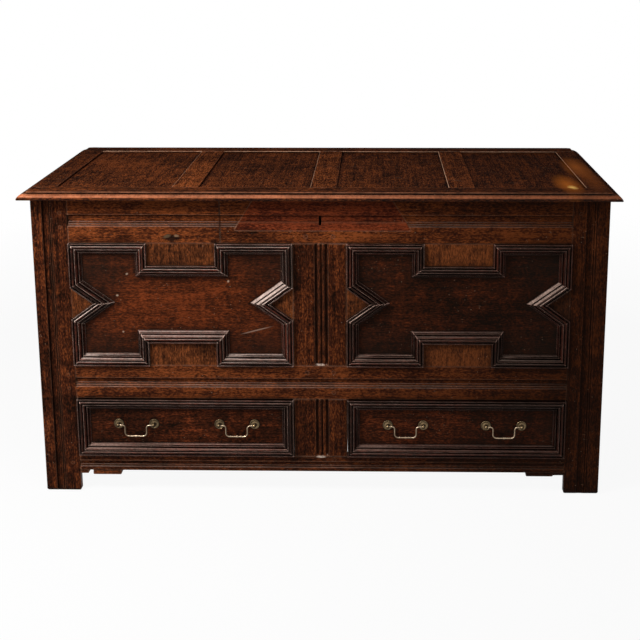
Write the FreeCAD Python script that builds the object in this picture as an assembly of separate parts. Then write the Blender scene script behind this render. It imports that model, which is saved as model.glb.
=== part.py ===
import FreeCAD, Part
import math
import os

# Joined oak mule chest: a framed coffer with a hinged lid over two side-hung drawers.
# Millimetres. +Z is up, the front faces -Y, +X is to the right seen from the front.
# The origin is on the floor, under the middle of the lid.

Vector = FreeCAD.Vector
X = Vector(1, 0, 0)
Y = Vector(0, 1, 0)
Z = Vector(0, 0, 1)

# ---- overall sizes
BODY_WIDTH = 1400.0
BODY_DEPTH = 559.0
BODY_HEIGHT = 768.0
LID_THICKNESS = 22.0
LID_FRONT_OVERHANG = 44.0
LID_BACK_OVERHANG = 11.0
LID_SIDE_OVERHANG = 21.0

# ---- posts and rails of the carcase
STILE_WIDTH = 88.0
STILE_DEPTH = 55.0
REAR_STILE_WIDTH = 74.0
FOOT_ROUNDING = 9.0
FOOT_FACE_DEPTH = 15.0
FOOT_RELIEF = 15.0
FRONT_THICKNESS = 30.0
SIDE_THICKNESS = 26.0
BACK_THICKNESS = 24.0
MUNTIN_WIDTH = 132.0
SIDE_MUNTIN_WIDTH = 78.0
BACK_MUNTIN_WIDTH = 80.0
FOOT_HEIGHT = 58.0
BOTTOM_RAIL_HEIGHT = 41.0
DRAWER_OPENING_HEIGHT = 153.0
MIDDLE_RAIL_HEIGHT = 88.0
TOP_RAIL_HEIGHT = 115.0
SIDE_BOTTOM_RAIL_HEIGHT = 74.0

# ---- joints
PANEL_THICKNESS = 10.0
FRONT_SETBACK = 9.0
SIDE_SETBACK = 7.0
BACK_SETBACK = 6.0
GROOVE_DEPTH = 11.0
TONGUE_DEPTH = 9.0
FRONT_TENON = 48.0
SIDE_TENON = 32.0
BACK_TENON = 40.0
MUNTIN_TENON = 26.0
TENON_SHOULDER = 12.0
PEG_RADIUS = 4.0
PEG_LENGTH = 24.0
PEG_PROUD = 0.4
PEG_INSET = 18.0

# ---- run mouldings, scratched into the faces of stiles, rails and muntins
RUN_DEPTH = 6.0
RIDGES = 3
RIDGE_WIDTH = 5.2
RIDGE_QUIRK = 1.3
TOP_RUN_WIDTH = 32.0
TOP_RUN_DROP = 3.0
MIDDLE_RUN_WIDTH = 27.0
MIDDLE_RUN_DROP = 4.0
BOTTOM_RUN_DROP = 4.5
NARROW_RUN_WIDTH = 20.0
NARROW_RUN_DEPTH = 4.0
NARROW_RUN_RIDGES = 2
LEFT_RUN_EDGE = 27.0
LEFT_RUN_WIDTH = 27.0
RIGHT_RUN_EDGE = 25.0
RIGHT_RUN_WIDTH = 30.0
MUNTIN_RUN_SHIFT = 4.0
MUNTIN_RUN_WIDTH = 32.0
MUNTIN_RUN_DEPTH = 5.0
MUNTIN_RUN_STOP = 8.0

# ---- applied mouldings round the front panels and the drawer fronts
MOULD_WIDTH = 29.0
MOULD_HEIGHT = 20.0
STEP_WIDTH = 168.0
TOP_STEP_DEPTH = 56.0
BOTTOM_STEP_DEPTH = 60.0
NOTCH_HALF_HEIGHT = 41.0
NOTCH_DEPTH = 56.0
NOTCH_RISE = 4.0

# ---- old repair let into the top rail, with the keyhole
PATCH_CENTRE = 8.0
PATCH_TOP_HALF = 164.0
PATCH_BOTTOM_HALF = 214.0
PATCH_HEIGHT = 82.0
PATCH_DEPTH = 16.0
RAIL_JOINT_X = -241.5
RAIL_JOINT_WIDTH = 0.8
RAIL_JOINT_DEPTH = 2.5
KEYHOLE_X = 2.0
KEYHOLE_WIDTH = 6.0
KEYHOLE_HEIGHT = 23.0
KEYHOLE_TOP = 46.0

# ---- lock, below the lid on the inside of the top rail
LOCK_WIDTH = 124.0
LOCK_HEIGHT = 80.0
LOCK_DEPTH = 26.0
LOCK_WALL = 2.5
LOCK_TOP_GAP = 2.0
BOLT_LENGTH = 50.0
BOLT_HEIGHT = 9.0
BOLT_DEPTH = 6.0
BOLT_DROP = 15.0
BOLT_TRAVEL = 12.0
BOLT_CLEARANCE = 0.3
STAPLE_WIRE = 4.0
STAPLE_GAP = 9.0
STAPLE_DROP = 30.0
STAPLE_CLEARANCE = 1.5
STAPLE_PLATE_THICKNESS = 3.0
STAPLE_PLATE_WIDTH = 24.0
STAPLE_PLATE_LENGTH = 44.0

# ---- worn blocks under the bottom rail, left from the shaped brackets
BLOCK_THICKNESS = 22.0
BLOCK_SETBACK = 2.0
LEFT_BLOCK_SPANS = ((0.0, 21.0, 9.5), (32.0, 104.0, 12.5))
RIGHT_BLOCK_SPAN = 95.0
RIGHT_BLOCK_STEP = 27.0
RIGHT_BLOCK_HEIGHTS = (7.5, 10.5)
BLOCK_ROUNDING = 3.0

# ---- coffer floor, and what carries the drawers
FLOOR_THICKNESS = 12.0
FLOOR_RISE = 4.0
FLOOR_GROOVE = 6.0
FLOOR_BOARDS = 8
STILE_CLEARANCE = 1.0
RUNNER_HEIGHT = 16.0
RUNNER_LIFT = 69.0
RUNNER_REACH = 7.5
RUNNER_LET_IN = 6.0
BEARER_WIDTH = 112.0
BEARER_HEIGHT = 46.0
BEARER_TENON = 14.0

# ---- drawers
DRAWER_GAP = 1.5
DRAWER_FRONT_THICKNESS = 18.0
DRAWER_SIDE_THICKNESS = 16.0
DRAWER_BACK_THICKNESS = 12.0
DRAWER_BOTTOM_THICKNESS = 8.0
DRAWER_BOTTOM_LIFT = 1.5
DRAWER_BACK_GAP = 36.0
DRAWER_SIDE_DROP = 22.0
DRAWER_BACK_DROP = 28.0
DRAWER_LAP = 9.0
DRAWER_BOTTOM_BOARDS = 3
DRAWER_GROOVE_DEPTH = 8.5
DRAWER_GROOVE_SLACK = 1.5
RUNNER_END_GAP = 0.3

# ---- drop handles: bail, posts and roses
HANDLE_OFFSETS = (126.5, 127.5)
RIGHT_HANDLE_OFFSETS = (126.5, 119.5)
HANDLE_HEIGHT = 82.0
POST_SPACING = 89.0
ROSE_RADIUS = 12.4
ROSE_THICKNESS = 2.4
KNOP_RADIUS = 4.8
KNOP_STANDOFF = 12.0
NECK_RADIUS = 2.9
SHANK_RADIUS = 2.2
SHANK_CLEARANCE = 0.1
TAIL_LENGTH = 14.0
TAIL_THICKNESS = 1.2
BAIL_RADIUS = 2.0
BAIL_PIVOT_CLEARANCE = 0.08
BAIL_PIN_LENGTH = 4.0
BAIL_END_GAP = 0.3
BAIL_DROP = 29.0
BAIL_NECK_INSET = 17.5
BAIL_SHOULDER_RADIUS = 7.0
BAIL_CORNER_RADIUS = 9.5
COLLAR_RADIUS = 3.0
COLLAR_LENGTH = 4.0

# ---- lid
LID_FRONT_RAIL = 58.0
LID_BACK_RAIL = 61.0
LID_LEFT_RAIL = 82.0
LID_RIGHT_RAIL = 78.0
LID_MUNTIN = 64.0
LID_MUNTIN_SHIFTS = (9.0, 8.0, 6.0)
LID_RECESS = 4.5
LID_PANEL_THICKNESS = 9.0
LID_TENON = 16.0
LID_TENON_COVER = 3.0
LID_PEG_RADIUS = 3.2
LID_CORNER_RADIUS = 46.0
LID_STEP_BACK = 26.0
LID_STEP_DROP = 4.5
LID_FRONT_QUIRK = 5.0

# ---- lid hinges
HINGE_PIN_RADIUS = 2.2
HINGE_PIN_CLEARANCE = 0.08
KNUCKLE_RADIUS = 4.5
KNUCKLE_BACK_GAP = 0.8
KNUCKLE_DROP = 8.0
KNUCKLE_LENGTH = 13.0
KNUCKLE_END_GAP = 0.3
LEAF_THICKNESS = 2.5
LEAF_HEIGHT = 60.0
STRAP_WIDTH = 32.0
STRAP_LENGTH = 230.0

# ---- places that follow from the sizes above
LID_DEPTH = BODY_DEPTH + LID_FRONT_OVERHANG + LID_BACK_OVERHANG
LID_FRONT = -LID_DEPTH / 2
LID_BACK = LID_DEPTH / 2
LID_LEFT = -BODY_WIDTH / 2 - LID_SIDE_OVERHANG
LID_RIGHT = BODY_WIDTH / 2 + LID_SIDE_OVERHANG
LID_TOP = BODY_HEIGHT + LID_THICKNESS
FRONT = LID_FRONT + LID_FRONT_OVERHANG
BACK = FRONT + BODY_DEPTH
SIDE = BODY_WIDTH / 2
STILE_INNER = SIDE - STILE_WIDTH
REAR_STILE_INNER = SIDE - REAR_STILE_WIDTH
MUNTIN_HALF = MUNTIN_WIDTH / 2
DRAWER_BASE = FOOT_HEIGHT + BOTTOM_RAIL_HEIGHT
MIDDLE_RAIL_BASE = DRAWER_BASE + DRAWER_OPENING_HEIGHT
PANEL_BASE = MIDDLE_RAIL_BASE + MIDDLE_RAIL_HEIGHT
TOP_RAIL_BASE = BODY_HEIGHT - TOP_RAIL_HEIGHT
FRONT_INSIDE = FRONT + FRONT_THICKNESS
BACK_INSIDE = BACK - BACK_THICKNESS
FIELD = FRONT + FRONT_SETBACK
FRONT_STILE_BACK = FRONT + STILE_DEPTH
REAR_STILE_FRONT = BACK - STILE_DEPTH
DRAWER_BACK_FACE = FIELD + DRAWER_FRONT_THICKNESS
DRAWER_END = BACK_INSIDE - DRAWER_BACK_GAP
PIVOT_Y = FIELD - KNOP_STANDOFF
PIVOT_Z = DRAWER_BASE + HANDLE_HEIGHT
HINGE_Y = BACK + KNUCKLE_BACK_GAP + KNUCKLE_RADIUS
HINGE_Z = BODY_HEIGHT - KNUCKLE_DROP
RUNNER_BASE = DRAWER_BASE + RUNNER_LIFT
OVERCUT = 5.0


# ---- small helpers
def block(x, y, z):
    """A box between pairs of X, Y and Z values."""
    corner = Vector(min(x), min(y), min(z))
    return Part.makeBox(abs(x[1] - x[0]), abs(y[1] - y[0]), abs(z[1] - z[0]), corner)


def joined(shapes):
    """Several touching shapes fused to one solid without inner edges."""
    return shapes[0].fuse(shapes[1:]).removeSplitter()


def less(shape, cutters):
    """A shape with every cutter that meets it taken out."""
    near = [c for c in cutters if c.BoundBox.intersect(shape.BoundBox)]
    if not near:
        return shape
    return shape.cut(near).removeSplitter()


def mirrored(shape):
    """The same shape on the other side of the chest."""
    return shape.mirror(Vector(0, 0, 0), X)


def outline_face(path):
    """A face from a closed path in the XY plane: points, and (through, end) pairs for arcs."""
    edges = []
    here = path[0]
    for step in path[1:] + [path[0]]:
        if isinstance(step[0], tuple):
            through, end = step
            edges.append(Part.Arc(Vector(*here), Vector(*through), Vector(*end)).toShape())
        else:
            end = step
            edges.append(Part.LineSegment(Vector(*here), Vector(*end)).toShape())
        here = end
    return Part.Face(Part.Wire(edges))


def laid(face, length, origin, across, depth):
    """A face extruded and laid in place: its x runs along across and its y along depth."""
    along = across.cross(depth)
    solid = face.extrude(Vector(0, 0, length))
    solid.Placement = FreeCAD.Placement(FreeCAD.Matrix(
        across.x, depth.x, along.x, origin.x,
        across.y, depth.y, along.y, origin.y,
        across.z, depth.z, along.z, origin.z,
        0, 0, 0, 1))
    return solid


def plate(points, y, thickness):
    """A flat piece with an outline of (x, z) points, from y backwards by its thickness."""
    ring = [Vector(px, y, pz) for px, pz in points]
    face = Part.Face(Part.makePolygon(ring + [ring[0]]))
    return face.extrude(Vector(0, thickness, 0))


def turned(path, axis):
    """A body turned about the X, Y or Z axis through the origin from a closed outline."""
    return outline_face(path).revolve(Vector(0, 0, 0), axis, 360)


# ---- mouldings
def run_face(width, depth, ridges):
    """Section of what a scratch tool takes out: a flat ground, then ridges out to the face."""
    points = [(0, -OVERCUT), (0, depth)]
    for i in range(ridges):
        x = width - (ridges - i) * RIDGE_WIDTH
        crest = depth * (1 - (i + 1) / ridges)
        foot = depth
        end = x + 0.78 * RIDGE_WIDTH
        if i > 0:
            foot = depth * (1 - i / ridges) + RIDGE_QUIRK
        if i == ridges - 1:
            end = width
        points.append((x, foot))
        points.append(((0.6 * x + 0.4 * end, crest + 0.3 * (foot - crest)), (end, crest)))
    return outline_face(points + [(width, -OVERCUT)])


def patch_run_face(width, depth):
    """Section of the repair's moulding: the same ground, then one broad round."""
    w = width
    d = depth
    return outline_face([
        (0, -OVERCUT), (0, d), (0.50 * w, d),
        ((0.62 * w, 0.30 * d), (w, 0)),
        (w, -OVERCUT)])


def reed_face(width, depth):
    """Section of what is taken out of a muntin: two reeds between two grooves."""
    w = width
    d = depth
    return outline_face([
        (0, -OVERCUT), (0, 0), (0.05 * w, d), (0.17 * w, d),
        ((0.335 * w, 0), (0.49 * w, 0.75 * d)),
        (0.51 * w, 0.75 * d),
        ((0.665 * w, 0), (0.83 * w, d)),
        (0.95 * w, d), (w, 0), (w, -OVERCUT)])


def rail_run(face, z_top):
    """A run moulding along a front rail, its ground uppermost."""
    start = Vector(-STILE_INNER - OVERCUT, FRONT, z_top)
    return laid(face, 2 * (STILE_INNER + OVERCUT), start, -Z, Y)


def stile_run(x_left, width):
    """The run moulding down the whole length of a stile, its ground to the left."""
    return laid(run_face(width, RUN_DEPTH, RIDGES), BODY_HEIGHT + 2 * OVERCUT,
                Vector(x_left, FRONT, -OVERCUT), X, Y)


def muntin_run(z0, z1):
    """The reeds down a muntin between two heights; their foot slopes out to the face."""
    x_left = MUNTIN_RUN_SHIFT - MUNTIN_RUN_WIDTH / 2
    face = reed_face(MUNTIN_RUN_WIDTH, MUNTIN_RUN_DEPTH)
    cutter = laid(face, z1 + OVERCUT - z0, Vector(x_left, FRONT, z0), X, Y)
    steep = MUNTIN_RUN_STOP / MUNTIN_RUN_DEPTH
    back = MUNTIN_RUN_DEPTH + OVERCUT
    wedge = outline_face([(-OVERCUT, -steep * OVERCUT), (back, -steep * OVERCUT),
                          (back, steep * back)])
    start = Vector(x_left - OVERCUT, FRONT, z0)
    return cutter.cut(laid(wedge, MUNTIN_RUN_WIDTH + 2 * OVERCUT, start, Y, Z))


def applied_face():
    """Section of the applied moulding: x runs inwards from its outer edge, y forwards."""
    w = MOULD_WIDTH
    h = MOULD_HEIGHT
    return outline_face([
        (0, 0), (w, 0), (w, 0.10 * h),
        ((0.93 * w, 0.17 * h), (0.86 * w, 0.37 * h)),
        (0.84 * w, 0.44 * h),
        ((0.80 * w, 0.50 * h), (0.76 * w, 0.46 * h)),
        (0.73 * w, 0.36 * h), (0.70 * w, 0.44 * h),
        ((0.62 * w, 0.74 * h), (0.50 * w, 0.84 * h)),
        (0.465 * w, 0.64 * h), (0.435 * w, 0.64 * h), (0.40 * w, 0.88 * h),
        ((0.30 * w, h), (0.21 * w, 0.88 * h)),
        (0.175 * w, 0.62 * h), (0.13 * w, 0.64 * h), (0.10 * w, 0.86 * h),
        (0.08 * w, 0.89 * h), (0, 0.89 * h)])


def applied_length(p, q, inner_p, inner_q):
    """One mitred length of applied moulding from p to q; the inner points end its mitres."""
    along = Vector(q[0] - p[0], 0, q[1] - p[1])
    length = along.Length
    along.normalize()
    inward = Vector(-along.z, 0, along.x)
    margin = 3 * MOULD_WIDTH
    start = Vector(p[0], FIELD, p[1]) - along * margin
    strip = laid(applied_face(), length + 2 * margin, start, inward, -Y)
    footprint = plate([p, q, inner_q, inner_p], FIELD - MOULD_HEIGHT - OVERCUT,
                      MOULD_HEIGHT + OVERCUT)
    return strip.common(footprint)


def inset_points(points, width):
    """The corners of a closed outline moved inwards by a width along their mitres."""
    count = len(points)
    moved = []
    for i in range(count):
        before = Vector(*points[i]) - Vector(*points[i - 1])
        after = Vector(*points[(i + 1) % count]) - Vector(*points[i])
        n1 = Vector(-before.y, before.x).normalize()
        n2 = Vector(-after.y, after.x).normalize()
        mitre = (n1 + n2) * (width / (1 + n1.dot(n2)))
        moved.append((points[i][0] + mitre.x, points[i][1] + mitre.y))
    return moved


def applied_ring(points):
    """Mitred lengths of applied moulding round an outline that runs anticlockwise."""
    inner = inset_points(points, MOULD_WIDTH)
    count = len(points)
    lengths = []
    for i in range(count):
        j = (i + 1) % count
        lengths.append(applied_length(points[i], points[j], inner[i], inner[j]))
    return lengths


def rectangle(x0, x1, z0, z1):
    """Corners of a rectangle, anticlockwise seen from the front."""
    return [(x0, z0), (x1, z0), (x1, z1), (x0, z1)]


def front_panel_corners(x0, x1):
    """X of the steps' sides, and Z of the steps' ends and of the notches, of one front panel."""
    x_middle = (x0 + x1) / 2
    z_middle = (PANEL_BASE + TOP_RAIL_BASE) / 2 + NOTCH_RISE
    return (x_middle - STEP_WIDTH / 2, x_middle + STEP_WIDTH / 2,
            PANEL_BASE + BOTTOM_STEP_DEPTH, TOP_RAIL_BASE - TOP_STEP_DEPTH,
            z_middle - NOTCH_HALF_HEIGHT, z_middle, z_middle + NOTCH_HALF_HEIGHT)


def front_panel_outline(x0, x1):
    """The geometric outline of a front panel: a step above and below, a notch at each side."""
    left, right, bottom, top, low, middle, high = front_panel_corners(x0, x1)
    z0 = PANEL_BASE
    z1 = TOP_RAIL_BASE
    return [
        (x0, z0), (left, z0), (left, bottom), (right, bottom), (right, z0),
        (x1, z0), (x1, low), (x1 - NOTCH_DEPTH, middle), (x1, high),
        (x1, z1), (right, z1), (right, top), (left, top), (left, z1),
        (x0, z1), (x0, high), (x0 + NOTCH_DEPTH, middle), (x0, low)]


def front_panel_fillers(x0, x1):
    """Blocks behind the steps and notches, level with the face of the frame."""
    left, right, bottom, top, low, middle, high = front_panel_corners(x0, x1)
    outlines = [
        rectangle(left, right, PANEL_BASE, bottom),
        rectangle(left, right, top, TOP_RAIL_BASE),
        [(x0, low), (x0 + NOTCH_DEPTH, middle), (x0, high)],
        [(x1, low), (x1, high), (x1 - NOTCH_DEPTH, middle)]]
    return [plate(points, FRONT, FRONT_SETBACK) for points in outlines]


# ---- panels, grooves and pegs
def front_openings():
    """X spans of the left and right openings of the front frame."""
    return [(-STILE_INNER, -MUNTIN_HALF), (MUNTIN_HALF, STILE_INNER)]


def side_openings():
    """(y span, z span) of each panel opening of a side frame."""
    middle = (FRONT_STILE_BACK + REAR_STILE_FRONT) / 2
    half = SIDE_MUNTIN_WIDTH / 2
    upper = (PANEL_BASE, TOP_RAIL_BASE)
    lower = (FOOT_HEIGHT + SIDE_BOTTOM_RAIL_HEIGHT, MIDDLE_RAIL_BASE)
    return [
        ((FRONT_STILE_BACK, middle - half), upper),
        ((middle + half, REAR_STILE_FRONT), upper),
        ((FRONT_STILE_BACK, REAR_STILE_FRONT), lower)]


def back_muntin_centres():
    """X of the two upper muntins of the back frame; the lower one stands in the middle."""
    panel = (2 * REAR_STILE_INNER - 2 * BACK_MUNTIN_WIDTH) / 3
    offset = (panel + BACK_MUNTIN_WIDTH) / 2
    return (-offset, offset)


def back_openings():
    """(x span, z span) of each panel opening of the back frame."""
    half = BACK_MUNTIN_WIDTH / 2
    left, right = back_muntin_centres()
    upper = (PANEL_BASE, TOP_RAIL_BASE)
    lower = (FOOT_HEIGHT + SIDE_BOTTOM_RAIL_HEIGHT, MIDDLE_RAIL_BASE)
    return [
        ((-REAR_STILE_INNER, left - half), upper),
        ((left + half, right - half), upper),
        ((right + half, REAR_STILE_INNER), upper),
        ((-REAR_STILE_INNER, -half), lower),
        ((half, REAR_STILE_INNER), lower)]


def widened(span, by):
    """A span made longer by the same length at both ends."""
    return (span[0] - by, span[1] + by)


def front_plane():
    """Y span of the front grooves, panels and tenons."""
    return (FIELD, FIELD + PANEL_THICKNESS)


def side_plane():
    """X span of the right side's grooves, panels and tenons."""
    return (SIDE - SIDE_SETBACK - PANEL_THICKNESS, SIDE - SIDE_SETBACK)


def back_plane():
    """Y span of the back's grooves, panels and tenons."""
    return (BACK - BACK_SETBACK - PANEL_THICKNESS, BACK - BACK_SETBACK)


def front_boards(by):
    """The front panels, or with the groove's depth the space that they stand in."""
    z = widened((PANEL_BASE, TOP_RAIL_BASE), by)
    return [block(widened(x, by), front_plane(), z) for x in front_openings()]


def side_boards(by):
    """The right side's panels, or the space that they stand in."""
    return [block(side_plane(), widened(y, by), widened(z, by)) for y, z in side_openings()]


def back_boards(by):
    """The back's panels, or the space that they stand in."""
    return [block(widened(x, by), back_plane(), widened(z, by)) for x, z in back_openings()]


def peg_heights(z0, z1):
    """Heights of the pegs of a rail: two in a deep rail, one in a shallow one."""
    middle = (z0 + z1) / 2
    if z1 - z0 < 4 * PEG_INSET:
        return [middle]
    return [middle - PEG_INSET, middle + PEG_INSET]


def tenon_heights(z0, z1):
    """Z span of the tenon of a rail, clear of the grooves above and below."""
    return (z0 + TENON_SHOULDER, z1 - TENON_SHOULDER)


def front_rail_spans():
    """Z spans of the front rails, from the top down."""
    return [
        (TOP_RAIL_BASE, BODY_HEIGHT),
        (MIDDLE_RAIL_BASE, PANEL_BASE),
        (FOOT_HEIGHT, DRAWER_BASE)]


def frame_rail_spans():
    """Z spans of the side and back rails, from the top down."""
    return [
        (TOP_RAIL_BASE, BODY_HEIGHT),
        (MIDDLE_RAIL_BASE, PANEL_BASE),
        (FOOT_HEIGHT, FOOT_HEIGHT + SIDE_BOTTOM_RAIL_HEIGHT)]


def front_pegs():
    """Pegs through the joints of the front frame."""
    places = []
    for z0, z1 in front_rail_spans():
        for z in peg_heights(z0, z1):
            places.append((-STILE_INNER - PEG_INSET, z))
            places.append((STILE_INNER + PEG_INSET, z))
    for z in (TOP_RAIL_BASE + PEG_INSET, PANEL_BASE - PEG_INSET):
        places.append((-MUNTIN_HALF / 2, z))
        places.append((MUNTIN_HALF / 2, z))
    places.append((MUNTIN_HALF / 2, MIDDLE_RAIL_BASE + PEG_INSET))
    places.append((MUNTIN_HALF / 2, DRAWER_BASE - PEG_INSET / 2))
    return [Part.makeCylinder(PEG_RADIUS, PEG_LENGTH + PEG_PROUD, Vector(x, FRONT - PEG_PROUD, z), Y)
            for x, z in places]


def side_pegs():
    """Pegs through the joints of the right side frame."""
    places = []
    for z0, z1 in frame_rail_spans():
        for z in peg_heights(z0, z1):
            places.append((FRONT_STILE_BACK - PEG_INSET, z))
            places.append((REAR_STILE_FRONT + PEG_INSET, z))
    middle = (FRONT_STILE_BACK + REAR_STILE_FRONT) / 2
    places.append((middle, TOP_RAIL_BASE + PEG_INSET))
    places.append((middle, PANEL_BASE - PEG_INSET))
    return [Part.makeCylinder(PEG_RADIUS, PEG_LENGTH + PEG_PROUD, Vector(SIDE + PEG_PROUD, y, z), -X)
            for y, z in places]


def back_pegs():
    """Pegs through the joints of the back frame."""
    places = []
    for z0, z1 in frame_rail_spans():
        for z in peg_heights(z0, z1):
            places.append((-REAR_STILE_INNER - PEG_INSET, z))
            places.append((REAR_STILE_INNER + PEG_INSET, z))
    for x in back_muntin_centres():
        places.append((x, TOP_RAIL_BASE + PEG_INSET))
        places.append((x, PANEL_BASE - PEG_INSET))
    places.append((0, MIDDLE_RAIL_BASE + PEG_INSET))
    places.append((0, FOOT_HEIGHT + SIDE_BOTTOM_RAIL_HEIGHT - PEG_INSET))
    return [Part.makeCylinder(PEG_RADIUS, PEG_LENGTH - BACK_SETBACK + PEG_PROUD,
                              Vector(x, BACK + PEG_PROUD, z), -Y)
            for x, z in places]


def carcase_pegs():
    """Every peg of the carcase."""
    right = side_pegs()
    return front_pegs() + right + [mirrored(p) for p in right] + back_pegs()


# ---- tenons
def front_tenons():
    """Tenons of the front rails, at both ends."""
    tenons = []
    for z0, z1 in front_rail_spans():
        for inner, outer in ((STILE_INNER, STILE_INNER + FRONT_TENON),
                             (-STILE_INNER, -STILE_INNER - FRONT_TENON)):
            tenons.append(block((inner, outer), front_plane(), tenon_heights(z0, z1)))
    return tenons


def side_tenons():
    """Tenons of the right side's rails, at both ends."""
    tenons = []
    for z0, z1 in frame_rail_spans():
        for y in ((FRONT_STILE_BACK - SIDE_TENON, FRONT_STILE_BACK),
                  (REAR_STILE_FRONT, REAR_STILE_FRONT + SIDE_TENON)):
            tenons.append(block(side_plane(), y, tenon_heights(z0, z1)))
    return tenons


def back_tenons():
    """Tenons of the back rails, at both ends."""
    tenons = []
    for z0, z1 in frame_rail_spans():
        for inner, outer in ((REAR_STILE_INNER, REAR_STILE_INNER + BACK_TENON),
                             (-REAR_STILE_INNER, -REAR_STILE_INNER - BACK_TENON)):
            tenons.append(block((inner, outer), back_plane(), tenon_heights(z0, z1)))
    return tenons


# ---- the carcase
def drawer_runner(side):
    """One batten that a drawer hangs on; side is -1 for the left one of the left drawer."""
    outer = REAR_STILE_INNER + RUNNER_LET_IN
    inner = STILE_INNER - DRAWER_GAP - RUNNER_REACH
    return block((side * outer, side * inner), (DRAWER_BACK_FACE + RUNNER_END_GAP, BACK_INSIDE),
                 (RUNNER_BASE, RUNNER_BASE + RUNNER_HEIGHT))


def bearer_runner(side):
    """The batten on one side of the middle bearer."""
    return block((side * BEARER_WIDTH / 2, side * (MUNTIN_HALF + DRAWER_GAP + RUNNER_REACH)),
                 (FRONT_INSIDE, BACK_INSIDE), (RUNNER_BASE, RUNNER_BASE + RUNNER_HEIGHT))


def drawer_runners():
    """The four battens that the drawers hang on."""
    return [drawer_runner(-1), bearer_runner(-1), bearer_runner(1), drawer_runner(1)]


def bearer_tenon(y0, y1):
    """A stub tenon of the middle bearer."""
    middle = RUNNER_BASE + RUNNER_HEIGHT / 2
    half = BEARER_HEIGHT / 2 - TENON_SHOULDER
    return block((-PANEL_THICKNESS, PANEL_THICKNESS), (y0, y1), (middle - half, middle + half))


def bearer_tenons():
    """The middle bearer's tenons in the drawer muntin and in the lower back muntin."""
    return [bearer_tenon(FRONT_INSIDE - BEARER_TENON, FRONT_INSIDE),
            bearer_tenon(BACK_INSIDE, BACK_INSIDE + BEARER_TENON)]


def centre_bearer():
    """The bearer between the drawers, from the drawer muntin to the back."""
    middle = RUNNER_BASE + RUNNER_HEIGHT / 2
    beam = block((-BEARER_WIDTH / 2, BEARER_WIDTH / 2), (FRONT_INSIDE, BACK_INSIDE),
                 (middle - BEARER_HEIGHT / 2, middle + BEARER_HEIGHT / 2))
    return less(joined([beam] + bearer_tenons()), [bearer_runner(-1), bearer_runner(1)])


def foot_relief(side):
    """What is hewn off the inner back arris of a front foot; side is -1 for the left one."""
    y0 = FRONT + FOOT_FACE_DEPTH
    y1 = FRONT_STILE_BACK + OVERCUT
    x0 = side * (STILE_INNER - OVERCUT)
    outline = [(side * STILE_INNER, y0), (side * (STILE_INNER + FOOT_RELIEF), y1), (x0, y1), (x0, y0)]
    ring = [Vector(x, y, -OVERCUT) for x, y in outline]
    face = Part.Face(Part.makePolygon(ring + [ring[0]]))
    return face.extrude(Vector(0, 0, FOOT_HEIGHT + OVERCUT))


def front_stile(side):
    """A front post with its foot; side is -1 for the left one."""
    x = (side * STILE_INNER, side * SIDE)
    post = block(x, (FRONT, FRONT_STILE_BACK), (0, BODY_HEIGHT))
    foot_edges = [e for e in post.Edges if e.BoundBox.ZMax < FOOT_ROUNDING]
    post = post.makeFillet(FOOT_ROUNDING, foot_edges)
    run = stile_run(-SIDE + LEFT_RUN_EDGE, LEFT_RUN_WIDTH)
    if side > 0:
        run = stile_run(SIDE - RIGHT_RUN_EDGE - RIGHT_RUN_WIDTH, RIGHT_RUN_WIDTH)
    sides = side_tenons() + side_boards(GROOVE_DEPTH) + side_pegs()
    if side < 0:
        sides = [mirrored(s) for s in sides]
    cutters = [run] + front_tenons() + front_boards(GROOVE_DEPTH) + front_pegs() + sides
    return less(post, cutters + [drawer_runner(side), foot_relief(side)])


def rear_stile(side):
    """A rear post; side is -1 for the left one."""
    post = block((side * REAR_STILE_INNER, side * SIDE), (REAR_STILE_FRONT, BACK), (0, BODY_HEIGHT))
    foot_edges = [e for e in post.Edges if e.BoundBox.ZMax < FOOT_ROUNDING]
    post = post.makeFillet(FOOT_ROUNDING, foot_edges)
    sides = side_tenons() + side_boards(GROOVE_DEPTH) + side_pegs()
    if side < 0:
        sides = [mirrored(s) for s in sides]
    cutters = sides + back_tenons() + back_boards(GROOVE_DEPTH) + back_pegs()
    return less(post, cutters + [drawer_runner(side)])


def front_rail(index):
    """A plain front rail with its tenons, before its run moulding."""
    z = front_rail_spans()[index]
    beam = block((-STILE_INNER, STILE_INNER), (FRONT, FRONT_INSIDE), z)
    return joined([beam] + front_tenons()[2 * index:2 * index + 2])


def muntin_tenon(z0, z1):
    """A tenon of the front muntins."""
    return block((-MUNTIN_HALF + TENON_SHOULDER, MUNTIN_HALF - TENON_SHOULDER), front_plane(),
                 (z0, z1))


def upper_muntin_tenons():
    """The upper muntin's tenons in the top and middle rails."""
    return [muntin_tenon(TOP_RAIL_BASE, TOP_RAIL_BASE + MUNTIN_TENON),
            muntin_tenon(PANEL_BASE - MUNTIN_TENON, PANEL_BASE)]


def drawer_muntin_tenons():
    """The drawer muntin's tenons in the middle and bottom rails."""
    return [muntin_tenon(MIDDLE_RAIL_BASE, MIDDLE_RAIL_BASE + MUNTIN_TENON),
            muntin_tenon(DRAWER_BASE - MUNTIN_TENON, DRAWER_BASE)]


def top_run(face):
    """The run moulding of the top rail, a little below the middle of its face."""
    return rail_run(face, (TOP_RAIL_BASE + BODY_HEIGHT + TOP_RUN_WIDTH) / 2 - TOP_RUN_DROP)


def keyhole():
    """The slot for the key, through the repair and the rail."""
    z1 = BODY_HEIGHT - KEYHOLE_TOP
    return block((KEYHOLE_X - KEYHOLE_WIDTH / 2, KEYHOLE_X + KEYHOLE_WIDTH / 2),
                 (FRONT - OVERCUT, FRONT_INSIDE + LOCK_WALL), (z1 - KEYHOLE_HEIGHT, z1))


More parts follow.
